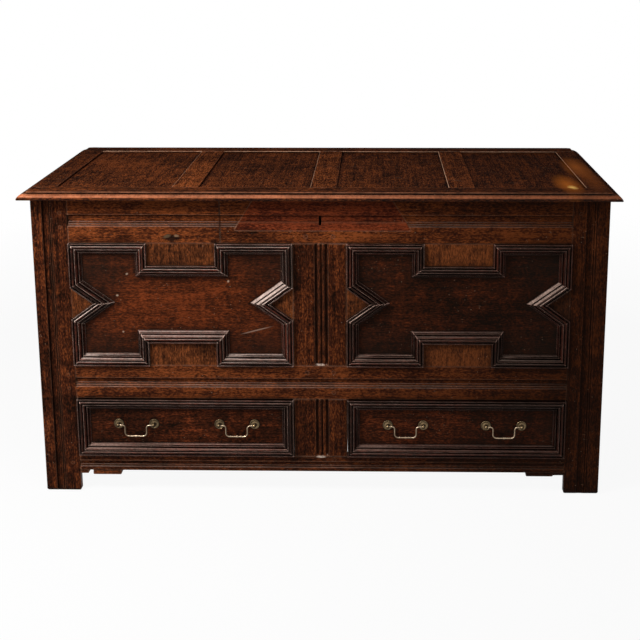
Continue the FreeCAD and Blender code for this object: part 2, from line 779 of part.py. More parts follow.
def patch_shape():
    """The repair's outline, wider below, from the top edge of the rail."""
    z0 = BODY_HEIGHT - PATCH_HEIGHT
    points = [(PATCH_CENTRE - PATCH_BOTTOM_HALF, z0), (PATCH_CENTRE + PATCH_BOTTOM_HALF, z0),
              (PATCH_CENTRE + PATCH_TOP_HALF, BODY_HEIGHT),
              (PATCH_CENTRE - PATCH_TOP_HALF, BODY_HEIGHT)]
    return plate(points, FRONT, PATCH_DEPTH)


def top_rail_joint():
    """The open butt joint that runs up the face of the top rail, left of the repair."""
    return block((RAIL_JOINT_X, RAIL_JOINT_X + RAIL_JOINT_WIDTH),
                 (FRONT - OVERCUT, FRONT + RAIL_JOINT_DEPTH), (TOP_RAIL_BASE, BODY_HEIGHT))


def front_top_rail():
    """The top rail, with the seat of the repair and the keyhole."""
    run = top_run(run_face(TOP_RUN_WIDTH, RUN_DEPTH, RIDGES))
    cutters = [run, patch_shape(), keyhole(), top_rail_joint()] + front_boards(GROOVE_DEPTH)
    return less(front_rail(0), cutters + upper_muntin_tenons() + front_pegs())


def top_rail_patch():
    """The repair let into the top rail round the keyhole."""
    return less(patch_shape(), [top_run(patch_run_face(TOP_RUN_WIDTH, RUN_DEPTH)), keyhole()])


def floor_boards():
    """The boards of the coffer's floor, in grooves of the middle rails."""
    x_end = SIDE - SIDE_THICKNESS + FLOOR_GROOVE
    y = (FRONT_INSIDE - FLOOR_GROOVE, BACK_INSIDE + FLOOR_GROOVE)
    z0 = MIDDLE_RAIL_BASE + FLOOR_RISE
    z = (z0, z0 + FLOOR_THICKNESS)
    corners = []
    for side in (-1, 1):
        far = side * (SIDE + OVERCUT)
        corners.append(block((side * (STILE_INNER - STILE_CLEARANCE), far),
                             (FRONT, FRONT_STILE_BACK + STILE_CLEARANCE), z))
        corners.append(block((side * (REAR_STILE_INNER - STILE_CLEARANCE), far),
                             (REAR_STILE_FRONT - STILE_CLEARANCE, BACK), z))
    step = 2 * x_end / FLOOR_BOARDS
    boards = []
    for i in range(FLOOR_BOARDS):
        x0 = -x_end + i * step
        boards.append(less(block((x0, x0 + step), y, z), corners))
    return boards


def floor_space():
    """The floor as one slab, which grooves the middle rails."""
    x_end = SIDE - SIDE_THICKNESS + FLOOR_GROOVE
    z0 = MIDDLE_RAIL_BASE + FLOOR_RISE
    return block((-x_end, x_end), (FRONT_INSIDE - FLOOR_GROOVE, BACK_INSIDE + FLOOR_GROOVE),
                 (z0, z0 + FLOOR_THICKNESS))


def front_middle_rail():
    """The rail between the panels and the drawers."""
    z_top = (MIDDLE_RAIL_BASE + PANEL_BASE + MIDDLE_RUN_WIDTH) / 2 - MIDDLE_RUN_DROP
    run = rail_run(run_face(MIDDLE_RUN_WIDTH, RUN_DEPTH, RIDGES), z_top)
    cutters = [run, floor_space()] + front_boards(GROOVE_DEPTH) + front_pegs()
    return less(front_rail(1), cutters + upper_muntin_tenons() + drawer_muntin_tenons())


def front_bottom_rail():
    """The rail below the drawers."""
    z_top = (FOOT_HEIGHT + DRAWER_BASE + NARROW_RUN_WIDTH) / 2 - BOTTOM_RUN_DROP
    face = run_face(NARROW_RUN_WIDTH, NARROW_RUN_DEPTH, NARROW_RUN_RIDGES)
    run = rail_run(face, z_top)
    return less(front_rail(2), [run] + drawer_muntin_tenons() + front_pegs())


def front_muntin(z0, z1, tenons):
    """An upright of the front frame with its stopped run moulding."""
    upright = block((-MUNTIN_HALF, MUNTIN_HALF), (FRONT, FRONT_INSIDE), (z0, z1))
    cutters = [muntin_run(z0, z1)] + front_boards(GROOVE_DEPTH) + front_pegs()
    return less(joined([upright] + tenons), cutters)


def upper_muntin():
    """The muntin between the front panels."""
    return front_muntin(PANEL_BASE, TOP_RAIL_BASE, upper_muntin_tenons())


def drawer_muntin():
    """The muntin between the drawers."""
    muntin = front_muntin(DRAWER_BASE, MIDDLE_RAIL_BASE, drawer_muntin_tenons())
    return less(muntin, bearer_tenons())


def side_muntin_tenons():
    """Tenons of the right side's muntin."""
    middle = (FRONT_STILE_BACK + REAR_STILE_FRONT) / 2
    half = SIDE_MUNTIN_WIDTH / 2 - TENON_SHOULDER
    y = (middle - half, middle + half)
    return [block(side_plane(), y, (TOP_RAIL_BASE, TOP_RAIL_BASE + MUNTIN_TENON)),
            block(side_plane(), y, (PANEL_BASE - MUNTIN_TENON, PANEL_BASE))]


def side_rails():
    """The right side's three rails."""
    tenons = side_tenons()
    cutters = side_boards(GROOVE_DEPTH) + side_muntin_tenons() + side_pegs() + [floor_space()]
    rails = []
    for i, z in enumerate(frame_rail_spans()):
        beam = block((SIDE - SIDE_THICKNESS, SIDE), (FRONT_STILE_BACK, REAR_STILE_FRONT), z)
        rails.append(less(joined([beam] + tenons[2 * i:2 * i + 2]), cutters))
    return rails


def side_muntin():
    """The right side's muntin."""
    middle = (FRONT_STILE_BACK + REAR_STILE_FRONT) / 2
    half = SIDE_MUNTIN_WIDTH / 2
    upright = block((SIDE - SIDE_THICKNESS, SIDE), (middle - half, middle + half),
                    (PANEL_BASE, TOP_RAIL_BASE))
    return less(joined([upright] + side_muntin_tenons()), side_boards(GROOVE_DEPTH) + side_pegs())


def back_muntin_places():
    """(x, z0, z1) of the back's muntins."""
    lower = (FOOT_HEIGHT + SIDE_BOTTOM_RAIL_HEIGHT, MIDDLE_RAIL_BASE)
    places = [(x, PANEL_BASE, TOP_RAIL_BASE) for x in back_muntin_centres()]
    return places + [(0, lower[0], lower[1])]


def back_muntin_tenons(place):
    """The two tenons of one muntin of the back."""
    x, z0, z1 = place
    half = BACK_MUNTIN_WIDTH / 2 - TENON_SHOULDER
    return [block((x - half, x + half), back_plane(), (z0 - MUNTIN_TENON, z0)),
            block((x - half, x + half), back_plane(), (z1, z1 + MUNTIN_TENON))]


def back_rails():
    """The back's three rails."""
    tenons = back_tenons()
    cutters = back_boards(GROOVE_DEPTH) + back_pegs() + [floor_space()]
    for place in back_muntin_places():
        cutters += back_muntin_tenons(place)
    rails = []
    for i, z in enumerate(frame_rail_spans()):
        beam = block((-REAR_STILE_INNER, REAR_STILE_INNER), (BACK_INSIDE, BACK), z)
        rails.append(less(joined([beam] + tenons[2 * i:2 * i + 2]), cutters))
    return rails


def back_muntins():
    """The back's muntins."""
    muntins = []
    half = BACK_MUNTIN_WIDTH / 2
    cutters = back_boards(GROOVE_DEPTH) + back_pegs() + bearer_tenons()
    for place in back_muntin_places():
        x, z0, z1 = place
        upright = block((x - half, x + half), (BACK_INSIDE, BACK), (z0, z1))
        muntins.append(less(joined([upright] + back_muntin_tenons(place)), cutters))
    return muntins


def rounded_block(x, z):
    """A block under the bottom rail with its lower long corners worn round."""
    y0 = FRONT + BLOCK_SETBACK
    piece = block(x, (y0, y0 + BLOCK_THICKNESS), z)
    low = [e for e in piece.Edges if e.BoundBox.ZMax < min(z) + BLOCK_ROUNDING / 2]
    ends = [e for e in low if e.BoundBox.XLength < BLOCK_ROUNDING / 2]
    return piece.makeFillet(BLOCK_ROUNDING, ends)


def bracket_blocks():
    """The worn blocks left under the ends of the bottom rail."""
    blocks = []
    for start, end, drop in LEFT_BLOCK_SPANS:
        x = (-STILE_INNER + start, -STILE_INNER + end)
        blocks.append(rounded_block(x, (FOOT_HEIGHT - drop, FOOT_HEIGHT)))
    shallow, deep = RIGHT_BLOCK_HEIGHTS
    y = (FRONT + BLOCK_SETBACK, FRONT + BLOCK_SETBACK + BLOCK_THICKNESS)
    step = block((STILE_INNER - RIGHT_BLOCK_STEP, STILE_INNER), y,
                 (FOOT_HEIGHT - shallow, FOOT_HEIGHT))
    main = rounded_block((STILE_INNER - RIGHT_BLOCK_SPAN, STILE_INNER - RIGHT_BLOCK_STEP),
                         (FOOT_HEIGHT - deep, FOOT_HEIGHT))
    blocks.append(joined([main, step]))
    return blocks


# ---- the lock
def bolt_block(travel, slack):
    """The bolt at rest, stretched by a travel and grown by a slack on every side."""
    x_end = KEYHOLE_X - STAPLE_WIRE / 2 - STAPLE_CLEARANCE
    y = FRONT_INSIDE + LOCK_DEPTH / 2
    z = BODY_HEIGHT - BOLT_DROP
    return block((x_end - BOLT_LENGTH - slack, x_end + travel + slack),
                 (y - BOLT_DEPTH / 2 - slack, y + BOLT_DEPTH / 2 + slack),
                 (z - BOLT_HEIGHT - slack, z + slack))


def lock_case():
    """The iron lock case: a box with the bolt's track and a slot for the staple."""
    x = (KEYHOLE_X - LOCK_WIDTH / 2, KEYHOLE_X + LOCK_WIDTH / 2)
    y = (FRONT_INSIDE, FRONT_INSIDE + LOCK_DEPTH)
    z = (BODY_HEIGHT - LOCK_TOP_GAP - LOCK_HEIGHT, BODY_HEIGHT - LOCK_TOP_GAP)
    shell = block(x, y, z)
    room_top = BODY_HEIGHT - BOLT_DROP - BOLT_HEIGHT - BOLT_CLEARANCE - LOCK_WALL
    room = block(widened(x, -LOCK_WALL), widened(y, -LOCK_WALL), (z[0] + LOCK_WALL, room_top))
    track = bolt_block(BOLT_TRAVEL, BOLT_CLEARANCE)
    half_x = STAPLE_WIRE / 2 + STAPLE_CLEARANCE
    half_y = STAPLE_GAP / 2 + STAPLE_WIRE + STAPLE_CLEARANCE
    y_mid = FRONT_INSIDE + LOCK_DEPTH / 2
    slot = block((KEYHOLE_X - half_x, KEYHOLE_X + half_x), (y_mid - half_y, y_mid + half_y),
                 (BODY_HEIGHT - STAPLE_DROP - STAPLE_CLEARANCE, BODY_HEIGHT + OVERCUT))
    return less(shell, [room, track, slot, keyhole()])


def staple_plate():
    """The staple's plate, let into the underside of the lid."""
    y = FRONT_INSIDE + LOCK_DEPTH / 2
    return block((KEYHOLE_X - STAPLE_PLATE_WIDTH / 2, KEYHOLE_X + STAPLE_PLATE_WIDTH / 2),
                 (y - STAPLE_PLATE_LENGTH / 2, y + STAPLE_PLATE_LENGTH / 2),
                 (BODY_HEIGHT, BODY_HEIGHT + STAPLE_PLATE_THICKNESS))


def lid_staple():
    """The iron loop under the lid that the bolt passes through, with its plate."""
    y = FRONT_INSIDE + LOCK_DEPTH / 2
    x = (KEYHOLE_X - STAPLE_WIRE / 2, KEYHOLE_X + STAPLE_WIRE / 2)
    outer = STAPLE_GAP / 2 + STAPLE_WIRE
    loop = block(x, (y - outer, y + outer), (BODY_HEIGHT - STAPLE_DROP, BODY_HEIGHT))
    gap = block(widened(x, OVERCUT), (y - STAPLE_GAP / 2, y + STAPLE_GAP / 2),
                (BODY_HEIGHT - STAPLE_DROP + STAPLE_WIRE, BODY_HEIGHT))
    return joined([loop.cut(gap), staple_plate()])


# ---- the drawers
def drawer_front_board(x0, x1):
    """The board of a drawer's front, lapped for the sides and the bottom."""
    z0 = DRAWER_BASE + DRAWER_GAP
    z1 = MIDDLE_RAIL_BASE - DRAWER_GAP
    board = block((x0, x1), (FIELD, DRAWER_BACK_FACE), (z0, z1))
    laps = drawer_sides(x0, x1) + [drawer_bottom_slab(x0, x1)]
    shanks = [Part.makeCylinder(SHANK_RADIUS + SHANK_CLEARANCE, 2 * DRAWER_FRONT_THICKNESS,
                                Vector(x, FIELD - OVERCUT, PIVOT_Z), Y)
              for x in post_places(x0, x1)]
    return less(board, laps + shanks)


def drawer_side_base():
    """The height at which a drawer's sides stand on its bottom."""
    return DRAWER_BASE + DRAWER_GAP + DRAWER_BOTTOM_LIFT + DRAWER_BOTTOM_THICKNESS


def drawer_sides(x0, x1):
    """A drawer's two sides, grooved for the runners."""
    y = (DRAWER_BACK_FACE - DRAWER_LAP, DRAWER_END)
    z = (drawer_side_base(), MIDDLE_RAIL_BASE - DRAWER_SIDE_DROP)
    groove_z = (RUNNER_BASE - DRAWER_GROOVE_SLACK, RUNNER_BASE + RUNNER_HEIGHT)
    groove_y = (DRAWER_BACK_FACE, DRAWER_END)
    sides = []
    for outer, inward in ((x0, 1), (x1, -1)):
        board = block((outer, outer + inward * DRAWER_SIDE_THICKNESS), y, z)
        groove = block((outer, outer + inward * DRAWER_GROOVE_DEPTH), groove_y, groove_z)
        sides.append(board.cut(groove))
    return sides


def drawer_back_board(x0, x1):
    """The board between a drawer's sides at the back."""
    y1 = DRAWER_END
    return block((x0 + DRAWER_SIDE_THICKNESS, x1 - DRAWER_SIDE_THICKNESS),
                 (y1 - DRAWER_BACK_THICKNESS, y1),
                 (drawer_side_base(), MIDDLE_RAIL_BASE - DRAWER_BACK_DROP))


def drawer_bottom_slab(x0, x1):
    """The space of a drawer's bottom boards."""
    z1 = drawer_side_base()
    return block((x0, x1), (DRAWER_BACK_FACE - DRAWER_LAP, DRAWER_END),
                 (z1 - DRAWER_BOTTOM_THICKNESS, z1))


def drawer_bottom_boards(x0, x1):
    """A drawer's bottom boards, side by side from front to back."""
    slab = drawer_bottom_slab(x0, x1).BoundBox
    step = (x1 - x0) / DRAWER_BOTTOM_BOARDS
    return [block((x0 + i * step, x0 + (i + 1) * step), (slab.YMin, slab.YMax),
                  (slab.ZMin, slab.ZMax))
            for i in range(DRAWER_BOTTOM_BOARDS)]


def drawer_mouldings(x0, x1):
    """The four mitred mouldings on a drawer's front."""
    return applied_ring(rectangle(x0, x1, DRAWER_BASE + DRAWER_GAP, MIDDLE_RAIL_BASE - DRAWER_GAP))


def handle_centres(x0, x1):
    """X of the middle of a drawer's two handles."""
    middle = (x0 + x1) / 2
    offsets = HANDLE_OFFSETS if middle < 0 else RIGHT_HANDLE_OFFSETS
    return (middle - offsets[0], middle + offsets[1])


def post_places(x0, x1):
    """X of a drawer's four handle posts."""
    half = POST_SPACING / 2
    return [c + s * half for c in handle_centres(x0, x1) for s in (-1, 1)]


def rose():
    """A dished brass rose on the Y axis, its back at y = 0."""
    hole = SHANK_RADIUS + SHANK_CLEARANCE
    r = ROSE_RADIUS
    t = ROSE_THICKNESS
    return turned([
        (hole, 0), (r, 0), (r, -0.4 * t),
        ((0.93 * r, -t), (0.84 * r, -0.55 * t)),
        ((0.55 * r, -0.42 * t), (NECK_RADIUS + 1, -t)),
        (hole, -t)], Y)


def post():
    """A brass post on the Y axis: knop, neck, shank and clenched tails."""
    inner = KNOP_STANDOFF - math.sqrt(KNOP_RADIUS ** 2 - NECK_RADIUS ** 2)
    body = turned([
        (0, -KNOP_STANDOFF - KNOP_RADIUS),
        ((KNOP_RADIUS, -KNOP_STANDOFF), (NECK_RADIUS, -inner)),
        (NECK_RADIUS, -ROSE_THICKNESS), (SHANK_RADIUS, -ROSE_THICKNESS),
        (SHANK_RADIUS, DRAWER_FRONT_THICKNESS + TAIL_THICKNESS),
        (0, DRAWER_FRONT_THICKNESS + TAIL_THICKNESS)], Y)
    tails = block((-SHANK_RADIUS, SHANK_RADIUS),
                  (DRAWER_FRONT_THICKNESS, DRAWER_FRONT_THICKNESS + TAIL_THICKNESS),
                  (-TAIL_LENGTH, TAIL_LENGTH))
    return joined([body, tails])


def bored_post(side):
    """A post bored for the bail's pin; side is -1 for the left post of a handle."""
    depth = BAIL_PIN_LENGTH + BAIL_END_GAP
    start = Vector(-side * (KNOP_RADIUS - depth), -KNOP_STANDOFF, 0)
    hole = Part.makeCylinder(BAIL_RADIUS + BAIL_PIVOT_CLEARANCE, 2 * depth, start, X * -side)
    return post().cut(hole)


def moved(shape, x, y, z):
    """A copy of a shape moved by x, y and z."""
    copy = shape.copy()
    copy.translate(Vector(x, y, z))
    return copy


def drawer_roses(x0, x1):
    """A drawer's four roses."""
    return [moved(rose(), x, FIELD, PIVOT_Z) for x in post_places(x0, x1)]


def drawer_posts(x0, x1):
    """A drawer's four handle posts."""
    half = POST_SPACING / 2
    posts = []
    for centre in handle_centres(x0, x1):
        for side in (-1, 1):
            posts.append(moved(bored_post(side), centre + side * half, FIELD, PIVOT_Z))
    return posts


def bail(centre):
    """A swan-neck bail hanging from its posts, with a collar in the middle."""
    end = POST_SPACING / 2 - KNOP_RADIUS + BAIL_PIN_LENGTH
    neck = POST_SPACING / 2 - BAIL_NECK_INSET
    shoulder = BAIL_SHOULDER_RADIUS
    corner = BAIL_CORNER_RADIUS
    drop = BAIL_DROP
    bend = math.sqrt(0.5)

    def at(x, z):
        return Vector(centre + x, PIVOT_Y, PIVOT_Z + z)

    def half_path(s):
        return [
            Part.LineSegment(at(s * end, 0), at(s * (neck + shoulder), 0)),
            Part.Arc(at(s * (neck + shoulder), 0),
                     at(s * (neck + shoulder * (1 - bend)), -shoulder * (1 - bend)),
                     at(s * neck, -shoulder)),
            Part.LineSegment(at(s * neck, -shoulder), at(s * neck, corner - drop)),
            Part.Arc(at(s * neck, corner - drop),
                     at(s * (neck - corner * (1 - bend)), corner * (1 - bend) - drop),
                     at(s * (neck - corner), -drop))]

    bottom = Part.LineSegment(at(-(neck - corner), -drop), at(neck - corner, -drop))
    edges = [c.toShape() for c in half_path(-1) + [bottom] + half_path(1)]
    spine = Part.Wire(Part.__sortEdges__(edges))
    ring = Part.Wire(Part.makeCircle(BAIL_RADIUS, at(-end, 0), X))
    rod = spine.makePipeShell([ring], True, True)
    collar = Part.makeCylinder(COLLAR_RADIUS, COLLAR_LENGTH, at(-COLLAR_LENGTH / 2, -drop), X)
    return joined([rod, collar])


# ---- the lid
def lid_plane():
    """Z span of the lid's grooves, panels and tenons."""
    z1 = LID_TOP - LID_RECESS
    return (z1 - LID_PANEL_THICKNESS, z1)


def lid_front_face():
    """Section of what is planed off the lid's front: x runs inwards, y down from the top."""
    t = LID_THICKNESS
    q = LID_FRONT_QUIRK
    return outline_face([
        (0.3 * q, -OVERCUT), (0.3 * q, 0.09 * t),
        (0.9 * q, 0.16 * t), (q, 0.34 * t), (0.62 * q, 0.44 * t),
        ((0.165 * q, 0.5525 * t), (0, 0.70 * t)),
        ((0.129 * q, 0.8605 * t), (0.5 * q, t)),
        (0.5 * q, t + OVERCUT), (-OVERCUT, t + OVERCUT), (-OVERCUT, -OVERCUT)])


def lid_end_face():
    """Section of what is planed off the lid's ends: x runs inwards, y down from the top."""
    t = LID_THICKNESS
    s = LID_STEP_BACK
    return outline_face([
        (s, -OVERCUT), (s, LID_STEP_DROP),
        ((0.22 * s, 0.52 * t), (0, 0.91 * t)),
        (0.05 * s, t), (0.05 * s, t + OVERCUT),
        (-OVERCUT, t + OVERCUT), (-OVERCUT, -OVERCUT)])


def lid_edges():
    """Cutters for the moulded front and ends of the lid."""
    end = lid_end_face()
    long_run = LID_RIGHT - LID_LEFT + 2 * OVERCUT
    short_run = LID_DEPTH + 2 * OVERCUT
    return [
        laid(lid_front_face(), long_run, Vector(LID_RIGHT + OVERCUT, LID_FRONT, LID_TOP), Y, -Z),
        laid(end, short_run, Vector(LID_LEFT, LID_FRONT - OVERCUT, LID_TOP), X, -Z),
        laid(end, short_run, Vector(LID_RIGHT, LID_BACK + OVERCUT, LID_TOP), -X, -Z)]


def lid_muntin_centres():
    """X of the lid's muntins: evenly spaced, then moved by their hand-laid shifts."""
    x0 = LID_LEFT + LID_LEFT_RAIL
    x1 = LID_RIGHT - LID_RIGHT_RAIL
    count = len(LID_MUNTIN_SHIFTS)
    panel = (x1 - x0 - count * LID_MUNTIN) / (count + 1)
    return [x0 + (i + 1) * panel + (i + 0.5) * LID_MUNTIN + shift
            for i, shift in enumerate(LID_MUNTIN_SHIFTS)]


def lid_panel_spans():
    """X spans of the lid's panel openings."""
    half = LID_MUNTIN / 2
    centres = lid_muntin_centres()
    starts = [LID_LEFT + LID_LEFT_RAIL] + [c + half for c in centres]
    ends = [c - half for c in centres] + [LID_RIGHT - LID_RIGHT_RAIL]
    return list(zip(starts, ends))


def lid_opening_depth():
    """Y span between the lid's long rails."""
    return (LID_FRONT + LID_FRONT_RAIL, LID_BACK - LID_BACK_RAIL)


def lid_boards(by):
    """The lid's panels, or with the groove's depth the space that they lie in."""
    y = widened(lid_opening_depth(), by)
    return [block(widened(x, by), y, lid_plane()) for x in lid_panel_spans()]


def lid_cross_spans():
    """X spans of the lid's cross pieces: end rails and muntins."""
    half = LID_MUNTIN / 2
    spans = [(LID_LEFT, LID_LEFT + LID_LEFT_RAIL)]
    spans += [(c - half, c + half) for c in lid_muntin_centres()]
    return spans + [(LID_RIGHT - LID_RIGHT_RAIL, LID_RIGHT)]


def lid_tenons(span):
    """The front and back tenons of one cross piece of the lid."""
    y0, y1 = lid_opening_depth()
    shoulders = widened(span, -TENON_SHOULDER)
    clear = LID_STEP_BACK + LID_TENON_COVER
    x = (max(shoulders[0], LID_LEFT + clear), min(shoulders[1], LID_RIGHT - clear))
    return [block(x, (y0 - LID_TENON, y0), lid_plane()), block(x, (y1, y1 + LID_TENON), lid_plane())]


def lid_pegs():
    """Pegs down through the joints of the lid, level with its top and its underside."""
    y0, y1 = lid_opening_depth()
    pegs = []
    for span in lid_cross_spans():
        x = (span[0] + span[1]) / 2
        for y in (y0 - LID_TENON / 2, y1 + LID_TENON / 2):
            pegs.append(Part.makeCylinder(LID_PEG_RADIUS, LID_THICKNESS, Vector(x, y, BODY_HEIGHT), Z))
    return [less(p, hinge_recesses()) for p in pegs]


def lid_cross_piece(index):
    """An end rail or a muntin of the lid with its tenons."""
    span = lid_cross_spans()[index]
    beam = block(span, lid_opening_depth(), (BODY_HEIGHT, LID_TOP))
    cutters = lid_edges() + lid_boards(GROOVE_DEPTH) + lid_pegs() + hinge_recesses()
    return less(joined([beam] + lid_tenons(span)), cutters + [staple_plate()])


def lid_long_rail(beam):
    """A long rail of the lid, cut from its beam."""
    cutters = lid_edges() + lid_boards(GROOVE_DEPTH) + lid_pegs() + hinge_recesses()
    for span in lid_cross_spans():
        cutters += lid_tenons(span)
    return less(beam, cutters)


def lid_front_rail():
    """The moulded front rail of the lid."""
    return lid_long_rail(block((LID_LEFT, LID_RIGHT), (LID_FRONT, LID_FRONT + LID_FRONT_RAIL),
                               (BODY_HEIGHT, LID_TOP)))


def lid_back_rail():
    """The plain back rail of the lid, its two rear corners rounded."""
    y0 = LID_BACK - LID_BACK_RAIL
    beam = block((LID_LEFT, LID_RIGHT), (y0, LID_BACK), (BODY_HEIGHT, LID_TOP))
    corners = [e for e in beam.Edges
               if e.BoundBox.ZLength > LID_THICKNESS / 2 and e.BoundBox.YMin > y0 + 1]
    return lid_long_rail(beam.makeFillet(LID_CORNER_RADIUS, corners))


# ---- the lid's hinges
def hinge_centres():
    """X of the two hinges, under the outer muntins of the lid."""
    centres = lid_muntin_centres()
    return (centres[0], centres[-1])


def hinge_strap_bar(x):
    """The flat of a hinge's strap, which lies in the underside of the lid."""
    return block((x - STRAP_WIDTH / 2, x + STRAP_WIDTH / 2), (HINGE_Y - STRAP_LENGTH, HINGE_Y),
                 (BODY_HEIGHT, BODY_HEIGHT + LEAF_THICKNESS))


def hinge_recesses():
    """What the straps take out of the underside of the lid."""
    return [hinge_strap_bar(x) for x in hinge_centres()]


def knuckle(x0, x1):
    """A barrel of a hinge and its bore."""
    start = Vector(x0, HINGE_Y, HINGE_Z)
    barrel = Part.makeCylinder(KNUCKLE_RADIUS, x1 - x0, start, X)
    bore = Part.makeCylinder(HINGE_PIN_RADIUS + HINGE_PIN_CLEARANCE, x1 - x0, start, X)
    return barrel, bore


def hinge_strap(x):
    """The moving leaf of one hinge: strap, bend and middle knuckle."""
    half = KNUCKLE_LENGTH / 2
    barrel, bore = knuckle(x - half, x + half)
    bend = block((x - half, x + half), (HINGE_Y, HINGE_Y - LEAF_THICKNESS), (HINGE_Z, BODY_HEIGHT))
    return joined([hinge_strap_bar(x), bend, barrel]).cut(bore)


def hinge_leaf(x):
    """The fixed leaf of one hinge: a plate on the back rail and two outer knuckles."""
    inner = KNUCKLE_LENGTH / 2 + KNUCKLE_END_GAP
    outer = inner + KNUCKLE_LENGTH
    pieces = [block((x - outer, x + outer), (BACK, BACK + LEAF_THICKNESS),
                    (HINGE_Z - LEAF_HEIGHT, HINGE_Z - KNUCKLE_RADIUS - KNUCKLE_END_GAP))]
    bores = []
    for x0, x1 in ((x - outer, x - inner), (x + inner, x + outer)):
        barrel, bore = knuckle(x0, x1)
        pieces.append(barrel)
        pieces.append(block((x0, x1), (BACK, BACK + LEAF_THICKNESS),
                            (HINGE_Z - KNUCKLE_RADIUS - OVERCUT, HINGE_Z)))
        bores.append(bore)
    return joined(pieces).cut(bores)


def hinge_pin(x):
    """The pin of one hinge, riveted over at its ends."""
    half = 1.5 * KNUCKLE_LENGTH + KNUCKLE_END_GAP
    pin = Part.makeCylinder(HINGE_PIN_RADIUS, 2 * half, Vector(x - half, HINGE_Y, HINGE_Z), X)
    head_radius = (HINGE_PIN_RADIUS + KNUCKLE_RADIUS) / 2
    heads = [Part.makeCylinder(head_radius, LEAF_THICKNESS / 2, Vector(start, HINGE_Y, HINGE_Z), X)
             for start in (x - half - LEAF_THICKNESS / 2, x + half)]
    return joined([pin] + heads)


# ---- all nodes
def carcase_nodes():
    """Nodes of the carcase and its ironwork."""
    openings = front_openings()
    fillers = [piece for x0, x1 in openings for piece in front_panel_fillers(x0, x1)]
    boards = front_boards(TONGUE_DEPTH)
    right_rails = side_rails()
    right_panels = side_boards(TONGUE_DEPTH)
    return {
        "front_left_stile": [front_stile(-1)],
        "front_right_stile": [front_stile(1)],
        "rear_left_stile": [rear_stile(-1)],
        "rear_right_stile": [rear_stile(1)],
        "front_top_rail": [front_top_rail()],
        "top_rail_patch": [top_rail_patch()],
        "front_middle_rail": [front_middle_rail()],
        "front_bottom_rail": [front_bottom_rail()],
        "upper_muntin": [upper_muntin()],
        "drawer_muntin": [drawer_muntin()],
        "left_front_panel": [boards[0]],
        "right_front_panel": [boards[1]],
        "left_panel_mouldings": applied_ring(front_panel_outline(*openings[0])),
        "right_panel_mouldings": applied_ring(front_panel_outline(*openings[1])),
        "panel_fillers": fillers,
        "left_side_rails": [mirrored(r) for r in right_rails],
        "right_side_rails": right_rails,
        "side_muntins": [mirrored(side_muntin()), side_muntin()],
        "left_side_panels": [mirrored(p) for p in right_panels],
        "right_side_panels": right_panels,
        "back_rails": back_rails(),
        "back_muntins": back_muntins(),
        "back_panels": back_boards(TONGUE_DEPTH),
        "coffer_floor": floor_boards(),
        "centre_bearer": [centre_bearer()],
        "drawer_runners": drawer_runners(),
        "bracket_blocks": bracket_blocks(),
        "carcase_pegs": carcase_pegs(),
        "lock_case": [lock_case()],
        "lock_bolt": [bolt_block(0, 0)],
        "hinge_leaves": [hinge_leaf(x) for x in hinge_centres()],
        "hinge_pins": [hinge_pin(x) for x in hinge_centres()]}


def lid_nodes():
    """Nodes of the lid."""
    return {
        "lid_front_rail": [lid_front_rail()],
        "lid_back_rail": [lid_back_rail()],
        "lid_left_rail": [lid_cross_piece(0)],
        "lid_right_rail": [lid_cross_piece(-1)],
        "lid_muntins": [lid_cross_piece(i + 1) for i in range(len(LID_MUNTIN_SHIFTS))],
        "lid_panels": lid_boards(TONGUE_DEPTH),
        "lid_pegs": lid_pegs(),
        "lid_staple": [lid_staple()],
        "hinge_straps": [hinge_strap(x) for x in hinge_centres()]}


def drawer_nodes(name, opening):
    """Nodes of one drawer and its handles."""
    x0, x1 = widened(opening, -DRAWER_GAP)
    centres = handle_centres(x0, x1)
    return {
        name + "_front": [drawer_front_board(x0, x1)],
        name + "_mouldings": drawer_mouldings(x0, x1),
        name + "_sides": drawer_sides(x0, x1),
        name + "_back": [drawer_back_board(x0, x1)],
        name + "_bottom": drawer_bottom_boards(x0, x1),
        name + "_roses": drawer_roses(x0, x1),
        name + "_posts": drawer_posts(x0, x1),
        name + "_left_bail": [bail(centres[0])],
        name + "_right_bail": [bail(centres[1])]}


def main():
    """Write one STEP file per node."""
    os.makedirs("parts", exist_ok=True)
    openings = front_openings()
    nodes = carcase_nodes()
    nodes.update(lid_nodes())
    nodes.update(drawer_nodes("left_drawer", openings[0]))
    nodes.update(drawer_nodes("right_drawer", openings[1]))
    for name, solids in nodes.items():
        shape = solids[0] if len(solids) == 1 else Part.makeCompound(solids)
        shape.exportStep("parts/" + name + ".step")


main()
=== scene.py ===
import logging
import math
import random
from dataclasses import dataclass, replace
from enum import Enum

import bmesh
import bpy
import numpy as np
from mathutils import Matrix, Vector


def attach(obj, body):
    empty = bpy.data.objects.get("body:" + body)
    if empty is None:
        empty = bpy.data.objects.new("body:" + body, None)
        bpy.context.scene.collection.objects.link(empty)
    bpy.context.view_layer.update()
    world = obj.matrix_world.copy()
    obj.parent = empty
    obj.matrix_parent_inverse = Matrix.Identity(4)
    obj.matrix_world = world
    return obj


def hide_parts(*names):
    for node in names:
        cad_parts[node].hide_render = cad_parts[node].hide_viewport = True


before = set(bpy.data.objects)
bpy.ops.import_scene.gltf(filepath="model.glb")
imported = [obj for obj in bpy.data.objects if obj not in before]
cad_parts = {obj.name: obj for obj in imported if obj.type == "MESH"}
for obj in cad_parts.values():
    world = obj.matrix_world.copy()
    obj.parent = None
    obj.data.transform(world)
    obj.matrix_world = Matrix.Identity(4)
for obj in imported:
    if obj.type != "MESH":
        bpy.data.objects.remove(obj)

# Looks of a joined oak mule chest: polished oak darkened by old dirt and by painted shade, with painted
# highlights on slopes that face the light, tarnished brass drop handles and iron fittings. Metres, in the
# frame of the imported part: +Z is up, the front faces -Y, +X is to the right seen from the front.

